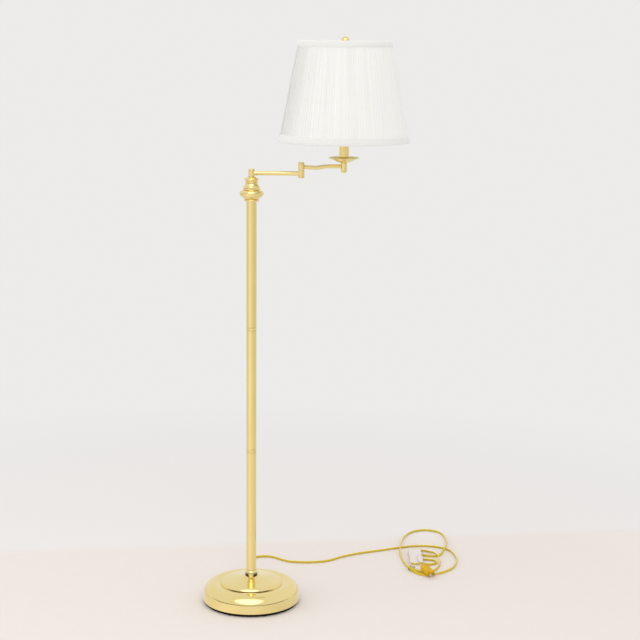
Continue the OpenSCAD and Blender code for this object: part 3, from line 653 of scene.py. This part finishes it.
dome_cap("pivot_cap", "root", 5, 2, 4, 0.4, False)
dome_cap("elbow_lower_cap", "arm_1", 4, 1.6, 3.4, 0, True)
dome_cap("elbow_upper_cap", "arm_1", 4, 1.6, 3.4, 0, False)
END_LOW = low("end_knuckle").z
turn(raised([(0, 4), (5, 4), (5, 0), (7.4, 0), (7.65, -0.25), (7.65, -0.9), (6.9, -1.7), (6.3, -2)]
            + arc(3.4, -2, 2.8, 0, -88, 12) + [(0, -4.8)], END_LOW), CANDLE, 64)
keep("end_knuckle_drop", "arm_2", brass_turned, "end_cap")


def knuckle(node, body, bore, hole_z, heading):
    """Pivot knuckle with rounded edges, a fine groove near each end and a hole for the wire; it
    stays a little clear of the washers that it turns on."""
    z0, z1 = low(node).z + 0.04, high(node).z - 0.04
    x, y = middle(node).xy
    end = [(bore, 0), (7.2, 0), (7.6, 0.15), (7.75, 0.5), (7.75, 1.9), (7.6, 2.1), (7.75, 2.3)]
    piece = turn(raised(end, z0) + [(r, z1 - h) for r, h in reversed(end)], (x, y), 64)
    drill(piece, (x + heading * 6, y, hole_z), 3, 8, (0, pi / 2, 0), 24)
    smooth_by()
    keep(node + "_turned", body, brass_turned, node)


ARM_1_Z = middle("arm_1_rod").z
ROD_2_Z = ARM_1_Z + 16.3  # the second rod's height over the first one
knuckle("arm_1_knuckle", "arm_1", 5.04, ARM_1_Z, 1)
knuckle("elbow_lower_knuckle", "arm_1", 4, ARM_1_Z, -1)
knuckle("elbow_upper_knuckle", "arm_2", 4.04, ROD_2_Z, 1)
knuckle("end_knuckle", "arm_2", 5, END_LOW + 11, -1)


def walk(steps, at, heading):
    """Points of a rod bent in the XZ plane, by steps of (straight, bend radius, bend angle).
    The heading is in degrees from +Z towards +X; a bend has a point every three degrees."""
    points = [at]
    for straight, bend, angle in steps:
        a = radians(heading)
        at = (at[0] + straight * sin(a), at[1] + straight * cos(a))
        points.append(at)
        hand = copysign(bend, angle)
        hub = (at[0] + hand * cos(a), at[1] - hand * sin(a))
        count = ceil(abs(angle) / 3)
        for k in range(1, count + 1):
            b = radians(heading + angle * k / count)
            at = (hub[0] - hand * cos(b), hub[1] + hand * sin(b))
            points.append(at)
        heading += angle
    return points


# The bow dips from the elbow, then rises; its last straight run ends at the candle tube
SPAN = CANDLE[0] - ELBOW[0]
DIP, RISE = 3, 11.5
dip, rise = radians(DIP), radians(RISE)
tail = SPAN - 32 * cos(dip) - 60 * (sin(dip) + sin(rise)) - 5 * cos(rise) - 80 * sin(rise)
bow = walk([(32, 60, -(DIP + RISE)), (5, 80, RISE), (tail, 0, 0)], (ELBOW[0], ROD_2_Z), 90 + DIP)
inside = [(x, z) for x, z in bow if ELBOW[0] + 7.75 < x < CANDLE[0] - 7.75]


def crossing(x):
    """The bow's point at that x."""
    for (xa, za), (xb, zb) in zip(bow, bow[1:]):
        if xa <= x <= xb:
            return x, za + (zb - za) * (x - xa) / (xb - xa)


bow_seen = [crossing(ELBOW[0] + 7.3)] + inside + [crossing(CANDLE[0] - 7.3)]
rod([(x, 0, z) for x, z in bow_seen], 5, 32)
keep("arm_2_bent_tube", "arm_2", brass_rod, "arm_2_rod")


# ---- Drip pan, socket, bulb and finial ----

PAN_R = half_width("drip_pan")
turn(raised([(5, 0), (13.0, 0), (13.6, 0.1)]
            + [(13.6 + (PAN_R - 19.6) * t, 8.7 * t ** 1.12) for t in (0.15, 0.35, 0.55, 0.75, 0.9, 1)]
            + [(PAN_R - 3.4, 10.0), (PAN_R - 2, 10.5)]
            + arc(PAN_R - 1.1, 11.3, 1.1, -60, 150, 12)
            + [(PAN_R - 3.6, 11.0), (PAN_R - 6.4, 10.1)]
            + [(13.2 + (PAN_R - 19.6) * t, 1.2 + 8.8 * t ** 1.12) for t in (0.9, 0.7, 0.5, 0.3, 0.1)]
            + [(13, 1.2), (5, 1.2)], low("drip_pan").z), CANDLE, 128, 50)
keep("drip_pan_spun", "arm_2", brass_spun, "drip_pan")

GLASS = low("bulb_glass").z
BULB_H = high("bulb_glass").z - GLASS
turn(raised([(0, 0), (12.9, 0), (13.1, 2), (13.4, 6), (14.2, 10), (15.4, 15), (17, 20), (19.2, 25),
             (21.8, 30), (24.2, 34.4), (26.4, 39.8)]
            + arc(0, BULB_H - 30, 30, -26, 90, 26), GLASS), CANDLE, 96)
keep("bulb_envelope", "arm_2", frosted_glass, "bulb_glass", slot="bulb_glass")

TOP_WASHER = low("finial").z  # the washer that the finial holds the spider down with
BALL = half_width("finial")
turn(raised([(3.2, 0), (6.1, 0), (6.35, 0.4), (6.3, 1.2), (5.6, 1.8), (4.6, 2.3), (4.3, 3.2),
             (4.4, 3.7)] + arc(0, BALL + 3.4, BALL, -65, 83, 36)
            + [(1.1, 25.3), (0.7, 25.8), (0, 25.9), (0, 15.2), (3.2, 14.2)], TOP_WASHER), CANDLE, 64)
keep("finial_ball", "arm_2", brass_turned, "finial")

for body in ("ferrule_left", "ferrule_right"):
    node = "harp_" + body
    turn(raised([(2.54, 0), (3.5, 0), (3.85, 0.35), (3.9, 0.9), (3.55, 1.6), (3.5, 3), (3.42, 3.3),
                 (3.5, 3.6), (3.5, 12.6), (3.35, 13.5), (3.0, 14), (2.54, 14)], low(node).z),
         tuple(middle(node).xy), 48)
    keep(body + "_sleeve", body, brass_turned, node)


# ---- Harp ----

# The bow of the harp flares, stands upright and closes over to its boss under the spider
FOOT = middle("harp_ferrule_right").x - CANDLE[0]
BOSS = TOP_WASHER - 1.5 - 4
POST_TOP = low("harp").z
FOOT_TOP = POST_TOP + 13
FLARE, OVER = 35, 84
flare, over = radians(FLARE), radians(OVER)
reach = FOOT + 100 * (1 - cos(flare)) + 22 * sin(flare)
last = (reach - 50 * (1 - cos(over))) / sin(over)
upright = (BOSS + 2 - FOOT_TOP - 8 - 100 * sin(flare) - 22 * cos(flare)
           - 50 * sin(over) - last * cos(over))
half = walk([(8, 40, FLARE), (22, 60, -FLARE), (upright, 50, -OVER), (last, 0, 0)],
            (FOOT, FOOT_TOP), 0)
whole = half + [(-x, z) for x, z in reversed(half[:-1])]
harp_parts = [rod([(CANDLE[0] + x, 0, z) for x, z in whole], 1.7, 20)]
for side in (-1, 1):
    harp_parts.append(turn(raised([(0, 0), (2.3, 0), (2.5, 0.3), (2.5, 12.2), (2.2, 13.1), (1.72, 14),
                                   (0, 14)], POST_TOP), (CANDLE[0] + side * FOOT, 0), 32))
threads = [(3.175 - 0.35 * (k % 2), 4.4 + 0.47 * k) for k in range(31)]
harp_parts.append(turn(raised([(0, 0), (5.6, 0), (6, 0.4), (6, 3.6), (5.6, 4), (3.175, 4)] + threads
                              + [(2.6, 19), (0, 19)], BOSS), CANDLE, 48))
join(harp_parts)
keep("harp_bow", "arm_2", brass_rod, "harp")


# ---- Shade ----

SHADE_Z0 = low("shade_bottom_trim").z
SHADE_Z1 = high("shade_top_trim").z
SHADE_R0 = half_width("shade_bottom_trim")
SHADE_R1 = SHADE_R0 - 47.5
CLOTH_Z0, CLOTH_Z1 = low("shade_pleats").z, high("shade_pleats").z
PLEATS, CLOTH_DEEP = 132, 3.05  # the folds' feet lie this far below the outer face


def shade_r(z):
    return SHADE_R0 + (SHADE_R1 - SHADE_R0) * (z - SHADE_Z0) / (SHADE_Z1 - SHADE_Z0)


def pleated_sheet():
    """Knife pleats: each rises to a rounded fold, runs back under itself and forward again.
    Their UV map is in metres; returns the width of the lower edge laid flat."""
    rows, tall = 26, CLOTH_Z1 - CLOTH_Z0
    fold = [(0.0, 1.75), (0.25, 1.6), (0.5, 1.47), (0.72, 1.37), (0.86, 1.32), (0.91, 1.42),
            (0.87, 1.6), (0.74, 1.95), (0.5, 2.5), (0.47, 2.66), (0.5, 2.8), (0.8, 2.55)]
    wander = [[random.gauss(0, 0.05) for _ in range(4)] for _ in range(PLEATS)]
    lift = [random.gauss(0, 0.12) for _ in range(PLEATS)]
    points = []
    for row in range(rows + 1):
        v = row / rows
        z = CLOTH_Z0 + tall * v
        slack = sin(pi * v)
        pinch = 1 - 0.25 * (1 - slack) ** 4
        for i in range(PLEATS):
            a, b, c, d = wander[i]
            lean = slack * (a + b * sin(3.1 * v + 40 * a) + 0.5 * c * sin(9 * v + 50 * d))
            for u, depth in fold:
                rise = (CLOTH_DEEP - depth) * (1 + 0.7 * lift[i] * slack) * pinch
                angle = TURN * (i + u + lean * (0.3 + 0.7 * u)) / PLEATS
                radius = shade_r(z) - CLOTH_DEEP + rise
                points.append((CANDLE[0] + radius * cos(angle), radius * sin(angle), z))
    around = PLEATS * len(fold)
    piece = mesh_piece(points, quads(rows + 1, around, True), 60)
    layer = piece.data.uv_layers.new(name="cloth")
    across = [0.0]
    for k in range(around):
        a, b = points[k], points[(k + 1) % around]
        across.append(across[-1] + dist(a, b) * MM)
    for face in piece.data.polygons:
        r, k = divmod(face.index, around)
        for loop, (du, dv) in zip(face.loop_indices, ((0, 0), (1, 0), (1, 1), (0, 1))):
            layer.data[loop].uv = (across[k + du], (r + dv) * tall / rows * MM)
    return across[-1]


bottom_width = pleated_sheet()
cloth = keep("pleated_cloth", "shade", pleated_cloth, "shade_pleats", slot="pleated_cloth")


def band(name, node, profile):
    """A cloth band round the shade, given by depths below the outer face at heights above its
    lower edge; its UV map runs along and across the cloth."""
    z0 = low(node).z
    piece = turn([(shade_r(z0 + h) - depth, z0 + h) for depth, h in profile], CANDLE, 264, 60)
    layer = piece.data.uv_layers.new(name="cloth")
    axis = CANDLE[0] * MM
    for face in piece.data.polygons:
        middle_angle = atan2(face.center.y, face.center.x - axis)
        for loop in face.loop_indices:
            p = piece.data.vertices[piece.data.loops[loop].vertex_index].co
            angle = atan2(p.y, p.x - axis)
            angle += TURN * round((middle_angle - angle) / TURN)
            layer.data[loop].uv = (angle * SHADE_R0 * MM, p.z + hypot(p.y, p.x - axis))
    return keep(name, "shade", trim_cloth, node, slot="pleated_cloth")


TOP_H = SHADE_Z1 - low("shade_top_trim").z
top_band = band("top_band", "shade_top_trim", [
    (1.9, 0), (1.3, 0), (1.15, 0.3), (0.95, 1.2), (0.75, 2.2), (0.3, 5), (0.1, TOP_H * 0.6),
    (0.05, TOP_H - 1), (0.4, TOP_H + 0.1), (1.2, TOP_H + 0.5), (2.74, TOP_H + 0.7),
    (4.2, TOP_H + 0.3), (4.75, TOP_H - 0.8), (4.9, TOP_H - 3), (4.9, TOP_H - 8),
    (4.5, TOP_H - 8), (4.5, TOP_H - 3), (4.2, TOP_H - 0.5), (2.74, TOP_H + 0.2),
    (1.3, TOP_H - 0.3), (1.25, TOP_H - 2), (1.9, 1)])
LOW_H = high("shade_bottom_trim").z - SHADE_Z0
bottom_band = band("bottom_band", "shade_bottom_trim", [
    (1.2, 2.5), (1.3, 0.2), (2.74, -0.2), (4.2, 0.3), (4.5, 2.5), (4.5, 9), (4.9, 9), (4.9, 2.5),
    (4.6, 0.1), (3.9, -0.5), (2.74, -0.7), (1.2, -0.5), (0.4, -0.1), (0.05, 0.8),
    (0.1, LOW_H * 0.4), (0.25, LOW_H * 0.7), (0.6, LOW_H - 2.4), (0.8, LOW_H - 1), (1.0, LOW_H - 0.2),
    (1.2, LOW_H), (1.9, LOW_H)])

LINER = low("shade_liner").z
LINER_H = high("shade_liner").z - LINER
turn([(shade_r(LINER + h) - depth, LINER + h) for depth, h in (
    (4.2, 0), (4.2, LINER_H / 2), (4.2, LINER_H), (4.95, LINER_H), (4.95, LINER_H / 2),
    (4.95, 0))], CANDLE, 192, 30)
keep("shade_lining", "shade", lining, "shade_liner", slot="shade_lining")


# ---- Cord ----

LIE, OVER_IT = 3.4, 9.6  # heights of the cord's middle on the floor and over a strand


def lay(*points):
    """Points of the route; those without a height lie on the floor."""
    return [(*point, LIE)[:3] for point in points]


def curl(x, y, radius, start, end, z0=LIE, z1=LIE, steps=5):
    """Points of the route round a bend, by angles in degrees, from height z0 to z1."""
    return [(px, py, z0 + (z1 - z0) * i / steps)
            for i, (px, py) in enumerate(arc(x, y, radius, start, end, steps))]


ROUTE = lay((0, 150, 16), (0, 182, 12.5), (-3, 216, 5), (-11, 254), (-19, 287), (-20, 312),
            (-8, 332), (12, 341), (31, 343), (52, 333), (78, 310), (98, 299), (123, 296),
            (155, 296), (200, 309), (240, 344), (286, 374), (346, 401), (407, 429), (447, 443),
            (488, 445), (523, 434), (549, 410), (562, 363), (563, 313), (547, 258), (521, 225),
            (493, 206), (467, 200), (445, 212), (429, 242), (416, 288), (408, 348), (407, 396, 6),
            (410, 431, OVER_IT), (414, 467, 6), (425, 523), (449, 570), (485, 592), (523, 581),
            (543, 543), (547, 485), (544, 454, 6), (540, 422, OVER_IT), (528, 385, 6))
HANK = (curl(501.5, 375, 20, -28, -100, 3.6, steps=2) + lay((483, 359))
        + curl(457, 349.5, 18.5, 78, 248) + lay((468, 329))
        + curl(486, 304.5, 19.5, 82, -100) + lay((466, 289.5))
        + curl(457.5, 317.5, 23.5, -112, -172, steps=2) + lay((432.8, 345), (433.5, 372))
        + curl(459, 376.5, 26, 155, 100, steps=2)
        + lay((470, 404.5), (483, 400.5), (494, 389.5, 4.6), (502.5, 373, 7.8), (508.5, 354, 9.8),
              (513, 334, 9), (515, 311, 6), (513, 287, 3.8)))
TAIL = (lay((507, 263), (498, 242), (484, 226), (467, 218, 3.8), (453, 219.5, 5.8))
        + curl(441.7, 241.5, 17, -105, -325, 8.2, 16.6) + [(460, 240, 16.6), (463, 232.6, 16)])


def smooth_route(points, steps=5):
    """A Catmull-Rom curve through the points."""
    path = []
    for i in range(len(points) - 1):
        a, b = Vector(points[max(i - 1, 0)]), Vector(points[i])
        c, d = Vector(points[i + 1]), Vector(points[min(i + 2, len(points) - 1)])
        for k in range(steps):
            t = k / steps
            path.append(0.5 * (2 * b + (c - a) * t + (2 * a - 5 * b + 4 * c - d) * t * t
                               + (3 * b - a - 3 * c + d) * t * t * t))
    return path + [Vector(points[-1])]


CORD_W, CORD_H, CORD_SIDES = 6.5, 3.3, 20
outline = []
for k in range(CORD_SIDES):
    a = TURN * k / CORD_SIDES
    lobe = CORD_W / 2 - CORD_H / 2
    side = copysign(1, cos(a)) if abs(cos(a)) > 0.05 else 0
    waist = 1 - 0.22 * exp(-((cos(a) / 0.3) ** 2))
    outline.append((side * lobe * min(1, abs(cos(a)) / 0.35) + cos(a) * CORD_H / 2,
                    sin(a) * CORD_H / 2 * waist))


def flat_cord(path, lean):
    """A flat two-core cord along the path; lean gives its roll in degrees at a point. Its UV map
    runs round it in turns and along it in metres. Returns its length."""
    sides, points = CORD_SIDES, []
    for i, p in enumerate(path):
        ahead = (path[min(i + 1, len(path) - 1)] - path[max(i - 1, 0)]).normalized()
        aside = ahead.cross(Vector((0, 0, 1))).normalized()
        up = aside.cross(ahead)
        roll = radians(lean(p, i / (len(path) - 1)))
        wide = aside * cos(roll) + up * sin(roll)
        tall = up * cos(roll) - aside * sin(roll)
        points += [p + wide * x + tall * y for x, y in outline]
    first_end = tuple(range(sides))
    last_end = tuple((len(path) - 1) * sides + k for k in first_end)
    piece = mesh_piece(points, quads(len(path), sides, True) + [first_end, last_end], 60)
    mode("EDIT")
    close_up(60)
    layer = piece.data.uv_layers.new(name="cord")
    along = [0.0]
    for a, b in zip(path, path[1:]):
        along.append(along[-1] + (b - a).length * MM)
    for face in piece.data.polygons:
        ks = [piece.data.loops[loop].vertex_index % sides for loop in face.loop_indices]
        wraps = max(ks) - min(ks) > sides / 2
        for loop, k in zip(face.loop_indices, ks):
            ring = piece.data.loops[loop].vertex_index // sides
            layer.data[loop].uv = ((k + sides if wraps and k < sides / 2 else k) / sides,
                                   along[min(ring, len(along) - 1)])
    return along[-1]


UNDER_PLUG, NEAR = (476, 206), 45  # where a strand passes below the plug, and how near it is


def cord_lean(p, t):
    """Roll of the cord: on edge along the floor, lower under the plug and flat where it enters it."""
    under_plug = max(0, 1 - dist(p.xy, UNDER_PLUG) / NEAR) if t < 0.9 else 0
    on_edge = 76 + 7 * sin(21 * t) + 4 * sin(47 * t + 1) - 45 * min(1, 2 * under_plug)
    return on_edge * min(1, max(0, (0.985 - t) / 0.03))


cord_path = smooth_route(ROUTE + HANK + TAIL)
cord_length = flat_cord(cord_path, cord_lean)
cord = keep("lamp_cord", "root", cord_plastic, "cord_run", "cord_hank", slot="gold_cord")


# ---- Plug, its blades, the bushing, the tie and the tag ----

PLUG_TAIL, PLUG_TURN, PLUG_TILT = Vector((460, 240, 16.6)), -68, 5.2


def on_plug(piece):
    """Moves a piece made along +X from the origin to the plug's place, in its mesh."""
    piece.rotation_euler = (0, radians(PLUG_TILT), radians(PLUG_TURN))
    piece.location = PLUG_TAIL * MM
    pick(piece)
    bpy.ops.object.transform_apply()


block(34, 24, 14, (39, 0, 0))
for back, narrower, lower in ((8, 0.86, 0.84), (6, 0.62, 0.72), (8, 0.82, 0.86)):
    select_where(lambda c, n: n.x < -0.9 and c.x < 23)
    bpy.ops.mesh.extrude_region_move(TRANSFORM_OT_translate={"value": (-back * MM, 0, 0)})
    bpy.ops.transform.resize(value=(1, narrower, lower))
select_where(lambda c, n: n.x > 0.9 and c.x > 50)
bpy.ops.mesh.inset(thickness=2.2 * MM)
shift(0.9)
select_where(lambda c, n: abs(n.z) > 0.9 and c.x > 24)
bpy.ops.mesh.inset(thickness=3 * MM)
for side in (1, -1):
    select_where(lambda c, n: side * n.z > 0.9 and 26 < c.x < 54 and abs(c.y) < 8)
    shift(z=-side * 1.2)
mode("OBJECT")
modify("BEVEL", width=1.6 * MM, segments=2, limit_method="ANGLE", angle_limit=radians(25))
modify("SUBSURF", levels=2, render_levels=2)
bpy.ops.object.shade_smooth()
on_plug(active())
plug = keep("plug_moulding", "root", plug_plastic, "plug_body", slot="gold_cord")

BLADE_OUT = 6.35
blades = []
for side in (-1, 1):
    block(17.5, 1.5, 6.3, (63.2, side * BLADE_OUT, 0))
    select_where(lambda c, n: n.x > 0.9)
    bpy.ops.mesh.inset(thickness=0.01 * MM)
    bpy.ops.transform.resize(value=(1, 0.45, 0.8))
    shift(0.6)
    mode("OBJECT")
    blades.append(active())
    drill(blades[-1], (68, side * BLADE_OUT, 0), 1.6, 4, (pi / 2, 0, 0), 20)
join(blades)
smooth_by(30)
on_plug(active())
prongs = keep("plug_blades", "root", nickel, "plug_prongs", slot="zinc_steel")

EXIT_Z, RIBS = 16, 6
sleeve = [(0, 119.5), (4.3, 119.5), (6.3, 120.9), (6.4, BASE_R - 3.2), (5, BASE_R - 2.6),
          (5, BASE_R - 0.4), (6.9, BASE_R - 0.2), (7, BASE_R + 1), (6.6, BASE_R + 1.7)]
for k in range(RIBS):
    thinner, at = 0.35 * k, BASE_R + 3.1 * k
    sleeve += [(5.9 - thinner, at + 2.2), (5.9 - thinner, at + 4.1), (5.2 - thinner, at + 4.5),
               (5.2 - thinner, at + 5.0)]
bushing = turn(sleeve + [(3.5, 149.4), (3.1, 150), (0, 150)], COLUMN, 40, 30)
bushing.rotation_euler = (-pi / 2, 0, 0)
bushing.location = (0, 0, EXIT_Z * MM)
bpy.ops.object.transform_apply()
keep("cord_grommet", "root", plug_plastic, "cord_bushing", slot="gold_cord")

# A paper band tied round two strands, with two twisted ends and a tab standing off it
TIE = Vector((428.5, 246, 8.0))
TIE_W, TIE_H = 6.6, 7.9
SWELL = ((-5.5, 0.9), (-4.6, 1.0), (-1.5, 1.04), (1.5, 1.02), (4.6, 1.0), (5.5, 0.92))
wrap, around = [], 36
for j, (y, swell) in enumerate(SWELL):
    for k in range(around):
        a = TURN * k / around
        crease = 1 + 0.035 * sin(7 * a + 1.7 * j)
        wrap.append((TIE.x + TIE_W * swell * crease * cos(a), TIE.y + y,
                     TIE.z + TIE_H * min(1, swell) * sin(a)))
mesh_piece(wrap, quads(len(SWELL), around, True), 50)
ties = [modify("SOLIDIFY", thickness=0.5 * MM, offset=-1)]
for side in (-1, 1):
    start = Vector((TIE.x + 3.5, TIE.y + side * 1.2, TIE.z + 6.4))
    ties.append(rod([start + Vector((1.5 * k, 1.2 * side * (cos(1.6 * k) - 1), 0.55 * k))
                     for k in range(9)], 0.8, 12))
CELLS = 6
mesh_piece([(426.5 + 15 * i / CELLS,
             240.3 - 1.1 * sin(2.4 * i / CELLS + 0.3) + 0.5 * sin(1.9 * j + i),
             2.4 + 12.6 * j / CELLS + 0.5 * sin(2.1 * i))
            for i in range(CELLS + 1) for j in range(CELLS + 1)], quads(CELLS + 1, CELLS + 1), 50)
ties.append(modify("SOLIDIFY", thickness=0.6 * MM, offset=0))
join(ties)
tie = keep("paper_tie", "root", tie_paper)

# A long plain card lying over the hank, curled a little at its ends, with a flap folded back on it
LONG, WIDE, CARD = 24, 8, 0.35
grid = []
for i in range(LONG + 1):
    along = i / LONG
    y = 287 + 114 * along
    z = 6.75 + 0.5 * sin(pi * 3 * along) ** 2 + 3 * max(0, along - 0.9) ** 2 * 60
    for j in range(WIDE + 1):
        across = j / WIDE
        grid.append((429.5 + 36 * across + 2 * along, y + 1.5 * across,
                     z + 1.2 * (2 * across - 1) ** 2))
mesh_piece(grid, quads(LONG + 1, WIDE + 1), 60)
card = modify("SOLIDIFY", thickness=CARD * MM, offset=1)
mesh_piece([(453 + 14.5 * j / CELLS + 0.4 * i / WIDE, 288 + 56 * i / WIDE,
             8.2 + 2.2 * (1 - j / CELLS) ** 2 + 0.4 * sin(i))
            for i in range(WIDE + 1) for j in range(CELLS + 1)], quads(WIDE + 1, CELLS + 1), 60)
join([card, modify("SOLIDIFY", thickness=CARD * MM, offset=1)])
tag = keep("plain_tag", "root", tag_paper)


# ---- Floor, backdrop, light and camera ----

WALL, NEAR_WHITE = (0.838, 0.832, 0.815), (0.965, 0.93, 0.88)

clear_selection()
bpy.ops.mesh.primitive_plane_add(size=60, location=(0, 0, 0))
ground = active()
ground.name = "floor"
floor_material, tree, shader, place = new_material("studio_floor", Roughness=0.9,
                                                   Specular_IOR_Level=0.1)
place = place["Object"]
paper = mix(tree, "MIX", noise(tree, place, 30, 4), (0.83, 0.765, 0.72), (0.86, 0.79, 0.745))
x, y, _ = split(tree, place)
behind = fit(tree, maths(tree, "SUBTRACT", y, times(tree, x, 0.14)), 0.448, 0.49)
feed(tree, shader, Base_Color=mix(tree, "MIX", behind, paper, (0.845, 0.812, 0.797)))

# Further out the floor glows as bright as the wall, and in the brass it mirrors as a bright room
distance = vector(tree, "LENGTH", place)
towards = vector(tree, "NORMALIZE", place)
bright = fit(tree, vector(tree, "DOT_PRODUCT", towards, (-0.5, -0.866, 0)), 0.2, 1, 0.86, 1.09)
streak = fit(tree, vector(tree, "DOT_PRODUCT", towards, (-0.574, -0.819, 0)), 0.93, 0.985, 0, 0.1,
             "SMOOTHSTEP")
reach = fit(tree, distance, 1.2, 4, 1, 0.92)
mirrored = mix(tree, "MULTIPLY", 1.0, NEAR_WHITE,
               times(tree, maths(tree, "ADD", bright, streak), reach))
glossy = tree.nodes.new("ShaderNodeLightPath").outputs["Is Glossy Ray"]
glow = add(tree, "ShaderNodeEmission", Color=mix(tree, "MIX", glossy, WALL, mirrored))
share = maths(tree, "MAXIMUM", fit(tree, distance, 0.9, 2.2), times(tree, glossy, 0.6))
blend = add(tree, "ShaderNodeMixShader", i0=share, i1=shader.outputs[0], i2=glow.outputs[0])
feed(tree, tree.nodes["Material Output"], Surface=blend.outputs[0])
ground.data.materials.append(floor_material)

# The brass sees a window high in front and a dark band low in front; other rays a plain room
world = bpy.data.worlds.new("studio")
bpy.context.scene.world = world
world.use_nodes = True
tree = world.node_tree
sky = tree.nodes.new("ShaderNodeTexCoord").outputs["Generated"]
glare = fit(tree, vector(tree, "DOT_PRODUCT", sky, (-0.06, -0.70, 0.707)), 0.84, 0.93, 0.9, 2.1,
            "SMOOTHSTEP")
_, y, z = split(tree, sky)
dark_band = ramp(tree, z, (0, 0), (0.02, 1), (0.08, 1), (0.12, 0))
ahead = fit(tree, y, 0.3, -0.2)
dark = maths(tree, "SUBTRACT", 1, times(tree, times(tree, dark_band, ahead), 0.85))
studio = mix(tree, "MULTIPLY", 1.0, (1, 0.99, 0.96), times(tree, glare, dark))
rays = tree.nodes.new("ShaderNodeLightPath").outputs
through = maths(tree, "MAXIMUM", rays["Is Camera Ray"], rays["Is Transmission Ray"])
plain = mix(tree, "MIX", through, (0.86, 0.86, 0.86), WALL)
feed(tree, tree.nodes["Background"], Color=mix(tree, "MIX", rays["Is Glossy Ray"], plain, studio))


def soft_lamp(name, at, aim, width, height, power):
    light = bpy.data.lights.new(name, "AREA")
    light.shape = "RECTANGLE"
    light.size, light.size_y, light.energy = width, height, power
    lamp = put(name, light)
    lamp.location = at
    lamp.rotation_mode = "QUATERNION"
    lamp.rotation_quaternion = (Vector(aim) - Vector(at)).to_track_quat("-Z", "Y")
    lamp.visible_glossy = False


soft_lamp("overhead_box", (0.1, -0.5, 3.4), (0.1, 0, 0), 1.5, 1.2, 10)
soft_lamp("front_box", (0.2, -4.6, 2.6), (0.15, 0, 0.8), 2.4, 1.8, 39)
soft_lamp("side_box", (-2.6, -0.5, 1.5), (0.23, 0, 1.35), 1.2, 1.2, 7)

lens = bpy.data.cameras.new("camera")
lens.sensor_width, lens.lens, lens.clip_end = 36, 88.335, 100
camera = put("camera", lens)
camera.location = (0.173, -3.9, 1.461)
camera.rotation_mode = "ZYX"
camera.rotation_euler = (radians(90 - 10.39), 0, radians(0.5))
bpy.context.scene.camera = camera
bpy.context.scene.view_settings.view_transform = "Standard"
